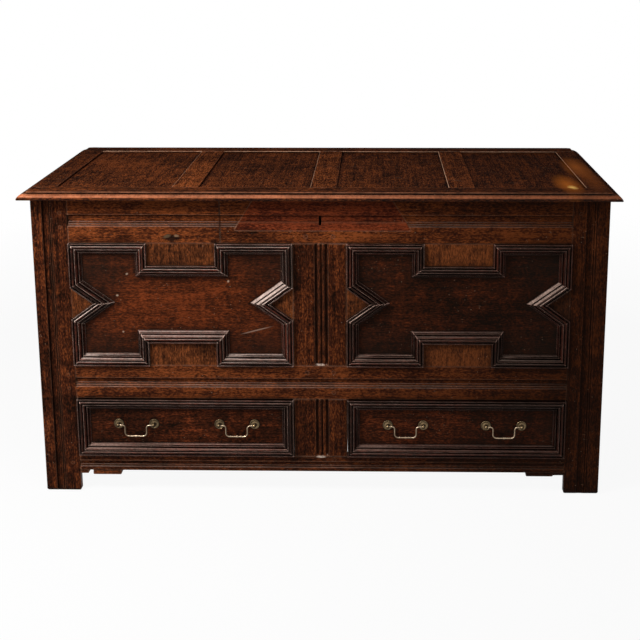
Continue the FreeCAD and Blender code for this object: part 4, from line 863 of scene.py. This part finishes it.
# A knot in the top rail, an old joint beside it, and painted highlights on the sloped stops where the
# muntins' reeds end.
FRAME_MARKS = (
    Mark((-0.358, -0.25, 0.667), (0.030, 1.0, 0.013), DARK_SPOT, 0.9, ragged=1.4),
    Mark((-0.370, -0.25, 0.671), (0.012, 1.0, 0.005), srgb(84, 68, 50), 0.8, 0.3, 1.0),
    Mark((-0.347, -0.25, 0.672), (0.008, 1.0, 0.004), srgb(124, 96, 72), 0.8, 0.0, 1.0),
    Mark((-0.2413, -0.25, 0.70), (0.0034, 1.0, 0.08), DARK_SPOT, 0.7, ragged=0.6),
    Mark((-0.257, -0.25, 0.656), (0.012, 1.0, 0.010), DARK_SPOT, 0.8, ragged=1.2),
    Mark((0.0, -0.25, 0.098), (0.014, 1.0, 0.0036), STOP_HIGHLIGHT, 0.85, ragged=0.4),
    Mark((0.0, -0.25, 0.343), (0.014, 1.0, 0.0036), STOP_HIGHLIGHT, 0.75, ragged=0.4))

# A long scratch and a few pale flecks, and grey wax with painted shade in the corners of both panels.
PANEL_MARKS = (
    Mark((-0.158, -0.24, 0.429), (0.046, 1.0, 0.0022), srgb(160, 130, 112), 0.8, 0.26, 0.3),
    Mark((-0.500, -0.24, 0.518), (0.004, 1.0, 0.003), PALE_SPOT, 0.6),
    Mark((-0.474, -0.24, 0.573), (0.004, 1.0, 0.003), PALE_SPOT, 0.6, 0.6),
    Mark((-0.489, -0.24, 0.424), (0.003, 1.0, 0.003), PALE_SPOT, 0.6),
    Mark((-0.225, -0.24, 0.555), (0.003, 1.0, 0.004), PALE_SPOT, 0.6, -0.5),
    *(Mark((x, -0.24, z), (0.13, 1.0, 0.10), GREY_WAX_AND_SHADE, share, 0.0, 0.6, 0.0) for x, z, share in (
        (-0.545, 0.585, 0.62), (-0.53, 0.375, 0.62), (-0.135, 0.375, 0.6), (-0.12, 0.60, 0.4),
        (0.145, 0.585, 0.3), (0.145, 0.375, 0.5), (0.54, 0.375, 0.4), (0.545, 0.60, 0.4))))

# A painted reflection: the warm glow of light near the lid's right end, painted as patches of warm wood
# colour.
LID_PAINTED_GLOW = (
    Mark((0.607, -0.190, 0.785), (0.038, 0.140, 0.1), srgb(196, 108, 38), 0.7, 0.0, 0.5, 0.0),
    Mark((0.613, -0.232, 0.785), (0.014, 0.038, 0.1), srgb(255, 206, 112), 1.0, 0.0, 0.3, 0.1),
    Mark((0.662, 0.020, 0.785), (0.038, 0.160, 0.1), srgb(180, 100, 42), 0.65, 0.0, 0.5, 0.0),
    Mark((0.672, -0.130, 0.785), (0.036, 0.200, 0.1), srgb(150, 80, 34), 0.45, 0.0, 0.5, 0.0))

# Painted highlights on the frame's slopes that face the light; its corner darkening is dirt together with
# painted shade, as under the lid's overhang.
FRAME_OAK = OakFinish(
    slot=Slot.FRAME, deep=srgb(14, 6, 3), body=srgb(65, 30, 16), glow=srgb(130, 67, 32),
    painted_highlight=srgb(184, 152, 136), worn=srgb(146, 104, 80), specular=0.05, highlight_share=0.85,
    speckle=0.38, age=0.72, spots=FRAME_MARKS)
STILE_OAK = replace(FRAME_OAK, title="stile", edge_width=2.2 * MM)
PEG_OAK = replace(FRAME_OAK, title="peg", edge_share=0.1, highlight_share=0.0, spots=())
# The panels' wide corner darkening is dirt together with painted shade around the planted mouldings.
PANEL_OAK = OakFinish(
    slot=Slot.PANEL, deep=srgb(14, 7, 4), body=srgb(62, 28, 14), glow=srgb(118, 54, 26),
    worn=srgb(120, 78, 56), dirt=srgb(15, 12, 10), specular=0.05, dirt_shade_reach=90 * MM,
    dirt_shade_start=0.01, dirt_shade_full=0.17, dirt_shade_share=0.78, figure=0.24, age=0.5, spots=PANEL_MARKS)
DRAWER_FRONT_OAK = replace(
    PANEL_OAK, title="drawer_front", glow=srgb(136, 64, 33), dirt_shade_reach=45 * MM, dirt_shade_start=0.06,
    dirt_shade_full=0.5, age=0.66, spots=())
FILLER_OAK = replace(
    PANEL_OAK, title="filler", deep=srgb(30, 15, 8), body=srgb(84, 44, 23), glow=srgb(140, 76, 38),
    dirt_shade_reach=12 * MM, dirt_shade_start=0.06, dirt_shade_full=0.52, dirt_shade_share=0.5, figure=0.30, age=0.66,
    spots=())
# Painted highlights: very pale slopes that face the light, and worn arrises pale enough to be painted
# highlight lines too.
MOULDING_OAK = OakFinish(
    slot=Slot.MOULDING, deep=srgb(6, 3, 2), body=srgb(30, 13, 9), glow=srgb(84, 37, 25),
    painted_highlight=srgb(244, 218, 204), worn=srgb(206, 174, 158), glossy=0.22, dull=0.34, specular=0.12,
    edge_width=1.6 * MM, edge_share=0.8, highlight_share=0.92, highlight_start=0.84, highlight_full=0.94)
# Shaded copies of the mouldings: the right panel's and the drawers' get dimmer painted highlights, where the
# light is weaker.
RIGHT_MOULDING_SHADED_OAK = replace(
    MOULDING_OAK, title="right_moulding_shaded", painted_highlight=srgb(238, 204, 186), worn=srgb(190, 150, 134),
    highlight_start=0.86, highlight_full=0.97)
DRAWER_MOULDING_SHADED_OAK = replace(
    MOULDING_OAK, title="drawer_moulding_shaded", painted_highlight=srgb(182, 148, 134), worn=srgb(188, 156, 142))
# Painted highlight on the lid's front bead, which faces up and forward; the wide darkening along the panel
# recesses is painted shade.
LID_OAK = OakFinish(
    slot=Slot.LID, deep=srgb(11, 5, 3), body=srgb(54, 26, 14), glow=srgb(114, 58, 28),
    painted_highlight=srgb(186, 112, 76), worn=srgb(176, 116, 84), specular=0.0, coat=0.12, glossy=0.42,
    dull=0.66, edge_width=3 * MM, edge_share=0.6, dirt_shade_reach=20 * MM, quirk_reach=10 * MM,
    highlight_share=0.9, bloom_side=(0.0, -0.86, 0.51), highlight_start=0.86, highlight_full=0.99,
    age=0.45, figure=0.30, speckle=0.50, spots=LID_PAINTED_GLOW)
LID_PEG_OAK = replace(LID_OAK, title="lid_peg", edge_share=0.1, highlight_share=0.0, spots=())
# The lid's muntins and right rail get painted highlights on slopes that face left, the back rail on slopes
# that face forward, and less of the painted shade towards the right.
LID_MUNTIN_OAK = replace(
    LID_OAK, title="lid_muntin", body=srgb(68, 33, 17), glow=srgb(140, 74, 36), age=0.1,
    painted_highlight=LID_EDGE_HIGHLIGHT, bloom_side=(-0.70, 0.0, 0.71), highlight_start=0.84, highlight_full=0.96, spots=())
LID_RIGHT_OAK = replace(
    LID_MUNTIN_OAK, title="lid_right_rail", body=LID_OAK.body, glow=LID_OAK.glow, age=0.35,
    spots=LID_PAINTED_GLOW)
LID_BACK_OAK = replace(LID_RIGHT_OAK, title="lid_back_rail", bloom_side=(0.0, -0.70, 0.71))
# The repair's pale slopes that face the light are painted highlights.
REPAIR_OAK = OakFinish(
    slot=Slot.REPAIR, deep=srgb(28, 10, 6), body=srgb(68, 27, 16), glow=srgb(132, 60, 32),
    painted_highlight=srgb(196, 118, 84), worn=srgb(150, 84, 52), specular=0.05, highlight_share=0.5,
    edge_share=0.2, age=0.3)
INNER_OAK = OakFinish(
    slot=Slot.INNER, deep=srgb(48, 34, 23), body=srgb(92, 69, 48), glow=srgb(134, 106, 78),
    worn=srgb(140, 112, 84), dirt=srgb(30, 22, 16), glossy=0.7, dull=0.88, specular=0.2,
    edge_share=0.4, knocks=0.25)
BRASS = MetalFinish(
    slot=Slot.BRASS, bright=srgb(216, 190, 160), tarnish=srgb(66, 50, 34), crust=srgb(14, 10, 7),
    metallic=0.9, glossy=0.18, dull=0.45)
ROSE_BRASS = replace(BRASS, title="rose", bright=srgb(160, 134, 98), tarnish=srgb(34, 26, 17))
IRON = MetalFinish(
    slot=Slot.IRON, bright=srgb(92, 84, 78), tarnish=srgb(44, 34, 28), crust=srgb(50, 26, 14),
    metallic=0.75, glossy=0.42, dull=0.8)


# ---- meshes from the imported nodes
Points = list[Vector]
Faces = list[tuple[int, ...]]

# Points nearer than this are one point, and faces flatter than this are one face.
WELD = 0.002 * MM
FLAT = math.radians(0.6)
# An arris is rounded where it is at least this sharp, this many roundings long, and has faces on
# both sides that are this many roundings broad.
SHARP = math.radians(40)
LONG = 6
BROAD = 2.5
# A face counts as lying on a board's dry side from this cosine.
DRY_FACING = 0.7


def node_solids(node: str) -> list[tuple[Points, Faces]]:
    """Splits a CAD node's mesh into its closed solids, which it holds one after another.

    Args:
        node: The node's name.

    Returns:
        Points and faces of each solid.
    """
    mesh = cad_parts[node].data
    welded: dict[tuple[int, ...], int] = {}
    places: Points = []
    ids = []
    for vertex in mesh.vertices:
        key = tuple(round(c / WELD) for c in vertex.co)
        if key not in welded:
            welded[key] = len(places)
            places.append(vertex.co.copy())
        ids.append(welded[key])
    solids = []
    faces: Faces = []
    loose: dict[tuple[int, int], int] = {}
    for polygon in mesh.polygons:
        corners = tuple(ids[i] for i in polygon.vertices)
        if len(set(corners)) < len(corners):
            continue
        faces.append(corners)
        for a, b in zip(corners, corners[1:] + corners[:1]):
            if loose.get((b, a), 0):
                loose[(b, a)] -= 1
                if not loose[(b, a)]:
                    del loose[(b, a)]
            else:
                loose[(a, b)] = loose.get((a, b), 0) + 1
        if not loose:
            solids.append(compact(places, faces))
            faces = []
    if faces:
        solids.append(compact(places, faces))
    return solids


def compact(places: Points, faces: Faces) -> tuple[Points, Faces]:
    """Keeps only the points that some faces use.

    Args:
        places: All points.
        faces: The faces, by their points' numbers.

    Returns:
        The used points and the renumbered faces.
    """
    used = sorted({i for f in faces for i in f})
    number = {old: new for new, old in enumerate(used)}
    return [places[i] for i in used], [tuple(number[i] for i in f) for f in faces]


def softened(points: Points, faces: Faces, arris: float) -> tuple[Points, Faces]:
    """Joins a solid's flat faces and rounds the arrises between its broad ones.

    Args:
        points: The solid's points.
        faces: Its faces.
        arris: Width of the rounding, or 0 for none.

    Returns:
        Points and faces of the softened solid.
    """
    solid = bmesh.new()
    for point in points:
        solid.verts.new(point)
    solid.verts.ensure_lookup_table()
    for face in faces:
        if solid.faces.get([solid.verts[i] for i in face]) is None:
            solid.faces.new([solid.verts[i] for i in face])
    solid.normal_update()
    bmesh.ops.dissolve_limit(solid, angle_limit=FLAT, verts=solid.verts, edges=solid.edges)
    if arris > 0:
        chosen = [e for e in solid.edges if takes_rounding(e, arris)]
        bmesh.ops.bevel(solid, geom=chosen, offset=arris, offset_type="OFFSET", segments=2, profile=0.5,
                        affect="EDGES", clamp_overlap=False)
    solid.verts.index_update()
    made = [v.co.copy() for v in solid.verts], [tuple(v.index for v in f.verts) for f in solid.faces]
    solid.free()
    return made


def takes_rounding(edge: bmesh.types.BMEdge, arris: float) -> bool:
    """Tells whether an edge is a sharp outer arris with broad faces on both sides.

    Args:
        edge: The edge.
        arris: Width of the rounding.

    Returns:
        True where the edge is rounded.
    """
    if len(edge.link_faces) != 2 or edge.calc_length() < LONG * arris:
        return False
    if edge.calc_face_angle_signed(0.0) < SHARP:
        return False
    return all(f.calc_area() / edge.calc_length() > BROAD * arris for f in edge.link_faces)


def board_axes(points: Points, faces: Faces) -> Matrix:
    """The directions of a board: along its longest edges, across it and through its thickness.

    Args:
        points: The board's points.
        faces: Its faces.

    Returns:
        A matrix whose rows are the three directions.
    """
    longest, along = 0.0, Vector((1, 0, 0))
    for face in faces:
        for a, b in zip(face, face[1:] + face[:1]):
            edge = points[b] - points[a]
            if edge.length > longest:
                longest, along = edge.length, edge.normalized()
    spread = np.ptp(np.array(points), axis=0)
    order = sorted(range(3), key=lambda axis: spread[axis] + 10 * (abs(along[axis]) > 0.8))
    through = Vector([float(axis == order[0]) for axis in range(3)])
    across = through.cross(along).normalized()
    return Matrix((along, across, along.cross(across)))


UPRIGHT = Matrix(((0, 0, 1), (1, 0, 0), (0, 1, 0)))


@dataclass
class Timber:
    """One CAD node made again, with softened arrises and grain that follows each board."""

    node: str
    piece: str
    finish: Finish
    body: str
    arris: float = 1.0 * MM
    dry: Dry = Dry.NONE
    smooth_to: float = 50.0
    tone_spread: float = 1.0
    upright: bool = False
    grain_shift: Triple = (3.0, 0.6, 0.6)

    def build(self) -> bpy.types.Object:
        """Makes the piece, which stands for its node and rides on its body.

        Returns:
            The new object.
        """
        points: Points = []
        faces: Faces = []
        places: Points = []
        tones: list[float] = []
        for index, solid in enumerate(node_solids(self.node)):
            own_points, own_faces = softened(*solid, self.arris)
            first = len(points)
            points += own_points
            faces += [tuple(first + i for i in f) for f in own_faces]
            own_places, tone = self.cut_from_wood(index, own_points, own_faces)
            places += own_places
            tones += [tone] * len(own_points)
        mesh = bpy.data.meshes.new(self.piece)
        mesh.from_pydata(points, [], faces)
        grain = mesh.attributes.new(GRAIN_PLACE, "FLOAT_VECTOR", "POINT").data
        grain.foreach_set("vector", np.array(places, np.float32).ravel())
        tone_of_board = mesh.attributes.new(BOARD_TONE, "FLOAT", "POINT").data
        tone_of_board.foreach_set("value", np.array(tones, np.float32))
        made = bpy.data.objects.new(self.piece, mesh)
        bpy.context.scene.collection.objects.link(made)
        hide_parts(self.node)
        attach(made, self.body)
        LOG.info("%s: %d faces on %s", self.piece, len(mesh.polygons), self.body)
        return made

    def cut_from_wood(self, index: int, points: Points, faces: Faces) -> tuple[Points, float]:
        """Gives a board its own place in the wood, by a chance that is the same each time.

        Args:
            index: The board's number in its node.
            points: The board's points.
            faces: Its faces.

        Returns:
            Each point's place in the wood, grain along X, and the board's tone.
        """
        chance = random.Random(f"{self.node} {index}")
        axes = UPRIGHT if self.upright else board_axes(points, faces)
        middle = sum(points, Vector()) / len(points)
        offset = Vector([chance.uniform(-reach, reach) for reach in self.grain_shift])
        return [axes @ (p - middle) + offset for p in points], chance.uniform(-1, 1) * self.tone_spread

    def dress(self, made: bpy.types.Object) -> None:
        """Gives the piece its finish, smooth shading and dry faces.

        Args:
            made: The piece.
        """
        mesh = made.data
        side = Vector(self.dry.value)
        dry = [float(p.normal.dot(side) > DRY_FACING) for p in mesh.polygons]
        mesh.attributes.new(DRY_FACE, "FLOAT", "FACE").data.foreach_set("value", np.array(dry, np.float32))
        mesh.shade_smooth()
        mesh.set_sharp_from_angle(angle=math.radians(self.smooth_to))
        mesh.materials.append(self.finish.material())
        weighted = made.modifiers.new("even_flats", "WEIGHTED_NORMAL")
        weighted.keep_sharp = True
        weighted.weight = 80


# ---- sub-assemblies
@dataclass
class Assembly:
    """Pieces that belong together. Each kind of assembly lists its own."""

    def timbers(self) -> list[Timber]:
        """Lists the assembly's pieces with their finishes, in the order of making."""
        raise NotImplementedError

    def build(self) -> None:
        """Makes each piece and dresses it."""
        for timber in self.timbers():
            timber.dress(timber.build())


@dataclass
class FrontFrame(Assembly):
    """Stiles, rails and muntins of the front, with the old repair in the top rail."""

    body: str = "carcase"
    arris: float = 1.2 * MM
    patch_arris: float = 0.4 * MM
    boards: tuple[tuple[str, str, OakFinish], ...] = (
        ("front_left_stile", "left_stile", STILE_OAK), ("front_right_stile", "right_stile", STILE_OAK),
        ("front_top_rail", "top_rail", FRAME_OAK), ("front_middle_rail", "middle_rail", FRAME_OAK),
        ("front_bottom_rail", "bottom_rail", FRAME_OAK), ("upper_muntin", "upper_muntin", FRAME_OAK),
        ("drawer_muntin", "drawer_muntin", FRAME_OAK), ("bracket_blocks", "bracket_blocks", FRAME_OAK))

    def timbers(self) -> list[Timber]:
        """Lists the frame's boards in polished oak, and the repair in its own."""
        return [*(Timber(node, f"{piece}_oak", finish, self.body, self.arris, Dry.BEHIND)
                  for node, piece, finish in self.boards),
                Timber("top_rail_patch", "top_rail_patch_oak", REPAIR_OAK, self.body, self.patch_arris,
                       Dry.BEHIND)]


@dataclass
class FrontPanels(Assembly):
    """Panels of the front, with the blocks and the mitred mouldings planted on them."""

    body: str = "carcase"
    filler_arris: float = 0.5 * MM
    mould_arris: float = 0.35 * MM

    def timbers(self) -> list[Timber]:
        """Lists panels and mouldings, left and right, and the blocks.

        Returns:
            The pieces.
        """
        listed = []
        for side, finish in (("left", MOULDING_OAK), ("right", RIGHT_MOULDING_SHADED_OAK)):
            mouldings = f"{side}_panel_mouldings"
            listed += [Timber(f"{side}_front_panel", f"{side}_panel_oak", PANEL_OAK, self.body,
                              dry=Dry.BEHIND),
                       Timber(mouldings, f"{mouldings}_oak", finish, self.body, self.mould_arris)]
        return [*listed, Timber("panel_fillers", "panel_fillers_oak", FILLER_OAK, self.body,
                                self.filler_arris, upright=True)]


@dataclass
class SideFrames(Assembly):
    """Both ends of the chest, the rear stiles and the frame's pegs."""

    body: str = "carcase"
    arris: float = 1.2 * MM
    dry_sides: tuple[tuple[str, Dry, Dry], ...] = (
        ("left", Dry.FROM_LEFT_WALL, Dry.FROM_LEFT_CORNER),
        ("right", Dry.FROM_RIGHT_WALL, Dry.FROM_RIGHT_CORNER))

    def timbers(self) -> list[Timber]:
        """Lists the boards of both ends, then what both share.

        Returns:
            The pieces.
        """
        listed = []
        for side, wall, corner in self.dry_sides:
            stile, rails, panels = f"rear_{side}_stile", f"{side}_side_rails", f"{side}_side_panels"
            listed += [Timber(stile, f"{stile}_oak", FRAME_OAK, self.body, self.arris, corner),
                       Timber(rails, f"{rails}_oak", FRAME_OAK, self.body, self.arris, wall),
                       Timber(panels, f"{panels}_oak", PANEL_OAK, self.body, dry=wall)]
        return [*listed, Timber("side_muntins", "side_muntins_oak", FRAME_OAK, self.body, self.arris),
                Timber("carcase_pegs", "carcase_pegs_oak", PEG_OAK, self.body, 0.0)]


@dataclass
class Inside(Assembly):
    """The unpolished back, the coffer's floor, and what carries the drawers."""

    body: str = "carcase"
    boards: tuple[tuple[str, str], ...] = (
        ("back_rails", "back_rails_oak"), ("back_muntins", "back_muntins_oak"),
        ("back_panels", "back_panels_oak"), ("coffer_floor", "coffer_floor_boards"),
        ("centre_bearer", "centre_bearer_oak"), ("drawer_runners", "drawer_runners_oak"))

    def timbers(self) -> list[Timber]:
        """Lists the boards in dry oak."""
        return [Timber(node, piece, INNER_OAK, self.body) for node, piece in self.boards]


@dataclass
class Lid(Assembly):
    """The framed lid with its four panels and its pegs."""

    body: str = "lid"
    arris: float = 1.8 * MM
    tone_spread: float = 0.2
    boards: tuple[tuple[str, OakFinish], ...] = (
        ("lid_front_rail", LID_OAK), ("lid_back_rail", LID_BACK_OAK), ("lid_left_rail", LID_OAK),
        ("lid_right_rail", LID_RIGHT_OAK), ("lid_muntins", LID_MUNTIN_OAK), ("lid_panels", LID_OAK))

    def timbers(self) -> list[Timber]:
        """Lists the lid's boards in waxed oak, dry below, and its pegs."""
        return [*(Timber(node, f"{node}_oak", finish, self.body, self.arris, Dry.BELOW,
                         tone_spread=self.tone_spread) for node, finish in self.boards),
                Timber("lid_pegs", "lid_pegs_oak", LID_PEG_OAK, self.body, 0.0, Dry.BELOW)]


@dataclass
class Ironwork(Assembly):
    """Lock, staple and strap hinges."""

    arris: float = 0.4 * MM
    parts: tuple[tuple[str, str], ...] = (
        ("lock_case", "carcase"), ("lock_bolt", "lock_bolt"), ("lid_staple", "lid"),
        ("hinge_leaves", "carcase"), ("hinge_pins", "carcase"), ("hinge_straps", "lid"))

    def timbers(self) -> list[Timber]:
        """Lists the iron pieces."""
        return [Timber(node, f"{node}_iron", IRON, body, self.arris) for node, body in self.parts]


@dataclass
class Drawer(Assembly):
    """One drawer: its front with planted mouldings, its dry oak box and its handles."""

    body: str
    arris: float = 0.8 * MM
    mould_arris: float = 0.35 * MM
    brass_smooth_to: float = 40.0

    def timbers(self) -> list[Timber]:
        """Lists the drawer's boards and handles.

        Returns:
            The pieces.
        """
        name = self.body
        front = [Timber(f"{name}_front", f"{name}_front_oak", DRAWER_FRONT_OAK, name, self.arris, Dry.BEHIND),
                 Timber(f"{name}_mouldings", f"{name}_mouldings_oak", DRAWER_MOULDING_SHADED_OAK, name,
                        self.mould_arris)]
        box = [Timber(f"{name}_{board}", f"{name}_{board}_oak", INNER_OAK, name, self.arris)
               for board in ("sides", "back", "bottom")]
        mounts = [Timber(f"{name}_{part}", f"{name}_{part}_brass", ROSE_BRASS, name, 0.0,
                         smooth_to=self.brass_smooth_to) for part in ("roses", "posts")]
        bails = [Timber(bail, f"{bail}_brass", BRASS, bail, 0.0, smooth_to=self.brass_smooth_to)
                 for bail in (f"{name}_left_bail", f"{name}_right_bail")]
        return front + box + mounts + bails


# ---- studio
@dataclass(frozen=True)
class Lamp:
    """A soft box: where it hangs, what it points at, its size and its brightness."""

    name: str
    place: Triple
    target: Triple
    width: float
    depth: float
    radiance: float
    tint: Colour = (1.0, 1.0, 1.0)

    def build(self) -> None:
        """Makes the lamp."""
        light = bpy.data.lights.new(self.name, "AREA")
        light.shape = "RECTANGLE"
        light.size = self.width
        light.size_y = self.depth
        light.energy = self.radiance * math.pi * self.width * self.depth
        light.color = self.tint
        lamp = bpy.data.objects.new(self.name, light)
        lamp.location = self.place
        aim = Vector(self.target) - Vector(self.place)
        lamp.rotation_euler = aim.to_track_quat("-Z", "Y").to_euler()
        lamp.visible_camera = False
        bpy.context.scene.collection.objects.link(lamp)


@dataclass
class Studio:
    """Pale floor, white surroundings, soft boxes and the camera."""

    floor_size: float = 16.0
    floor_colour: Colour = (0.74, 0.74, 0.74)
    floor_glow: float = 0.93
    under_centre: Triple = (0.0, 0.14, 0.0)
    under_span: Triple = (0.62, 0.15, 1.0)
    fade_start: float = 1.5
    fade_end: float = 3.2
    white: Colour = (1.0, 1.0, 1.0)
    ambient: float = 0.16
    camera_place: Triple = (0.136514, -2.960707, 1.362859)
    pitch: float = 0.208201
    yaw: float = -0.019173
    roll: float = -0.001773
    lens: float = 64.6735
    sensor_width: float = 36.0
    shift_x: float = -0.0534
    shift_y: float = -0.207
    lamps: tuple[Lamp, ...] = (
        Lamp("top_box", (-0.25, -0.88, 1.80), (-0.2, -0.25, 0.6), 1.0, 0.2, 16.0, (1.0, 0.97, 0.95)),
        Lamp("left_box", (-1.20, -1.10, 1.50), (-0.3, -0.27, 0.4), 0.42, 0.42, 44.0),
        Lamp("right_box", (2.6, -2.6, 1.8), (0.2, 0.0, 0.4), 1.2, 1.4, 0.5))

    def build(self) -> None:
        """Makes the whole studio."""
        self.build_floor()
        self.build_world()
        for lamp in self.lamps:
            lamp.build()
        self.build_camera()
        bpy.context.scene.view_settings.view_transform = "Standard"

    def build_floor(self) -> None:
        """Makes the floor, a plain square on which the chest stands."""
        half = self.floor_size / 2
        mesh = bpy.data.meshes.new("studio_floor")
        mesh.from_pydata([(-half, -half, 0), (half, -half, 0), (half, half, 0), (-half, half, 0)], [],
                         [(0, 1, 2, 3)])
        mesh.materials.append(self.floor_material())
        floor = bpy.data.objects.new("studio_floor", mesh)
        bpy.context.scene.collection.objects.link(floor)

    def floor_material(self) -> bpy.types.Material:
        """Makes the floor white to the eye but not below the chest, and clear far from it.

        Returns:
            The material.
        """
        material = bpy.data.materials.new("studio_floor")
        tree = emptied(material)
        place = tree.add("TexCoord").outputs["Object"]
        far = tree.add("VectorMath", {0: place}, operation="LENGTH").outputs["Value"]
        away = tree.stretch(far, self.fade_start, self.fade_end)
        under = LocalMark().place(tree, place=place, centre=self.under_centre, span=self.under_span,
                                  ragged=0.0)["Mark"]
        glow = tree.math("MULTIPLY", tree.less(under), self.floor_glow)
        shown = tree.math("MULTIPLY", tree.backdrop_rays(), glow)
        board = tree.add("BsdfDiffuse", {"Color": self.floor_colour}).outputs[0]
        white = tree.add("Emission", {"Color": self.white, "Strength": 1.0}).outputs[0]
        ground = tree.add("MixShader", {0: shown, 1: board, 2: white}).outputs[0]
        clear = tree.add("BsdfTransparent").outputs[0]
        tree.close("Material", tree.add("MixShader", {0: away, 1: ground, 2: clear}).outputs[0])
        return material

    def build_world(self) -> None:
        """Makes surroundings that look white and light the chest softly."""
        world = bpy.data.worlds.new("studio")
        tree = emptied(world)
        strength = tree.blend(tree.backdrop_rays(), self.ambient, 1.0)
        tree.close("World", tree.add("Background", {"Color": self.white, "Strength": strength}).outputs[0])
        bpy.context.scene.world = world

    def build_camera(self) -> None:
        """Makes the camera: turned by yaw, tipped down by pitch, then rolled."""
        data = bpy.data.cameras.new("camera")
        data.lens = self.lens
        data.sensor_width = self.sensor_width
        data.shift_x = self.shift_x
        data.shift_y = self.shift_y
        right = Vector((math.cos(self.yaw), -math.sin(self.yaw), 0))
        level = Vector((math.sin(self.yaw), math.cos(self.yaw), 0))
        ahead = level * math.cos(self.pitch) - Vector((0, 0, math.sin(self.pitch)))
        above = level * math.sin(self.pitch) + Vector((0, 0, math.cos(self.pitch)))
        rolled_right = right * math.cos(self.roll) + above * math.sin(self.roll)
        rolled_up = above * math.cos(self.roll) - right * math.sin(self.roll)
        turn = Matrix((rolled_right, rolled_up, -ahead)).transposed().to_4x4()
        camera = bpy.data.objects.new("camera", data)
        camera.matrix_world = Matrix.Translation(self.camera_place) @ turn
        bpy.context.scene.collection.objects.link(camera)
        bpy.context.scene.camera = camera


def corners(box: tuple[Vector, Vector]) -> list[list[float]]:
    """A box's two corners as plain lists."""
    return [[float(c) for c in corner] for corner in box]


def main() -> None:
    """Builds the chest's looks and the studio."""
    logging.basicConfig(level=logging.INFO, format="%(name)s: %(message)s")
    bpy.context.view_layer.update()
    assemblies = [FrontFrame(), FrontPanels(), SideFrames(), Inside(), Lid(), Ironwork(),
                  Drawer("left_drawer"), Drawer("right_drawer"), Studio()]
    for assembly in assemblies:
        assembly.build()
        LOG.info("built %s", type(assembly).__name__)


if __name__ == "__main__":
    main()
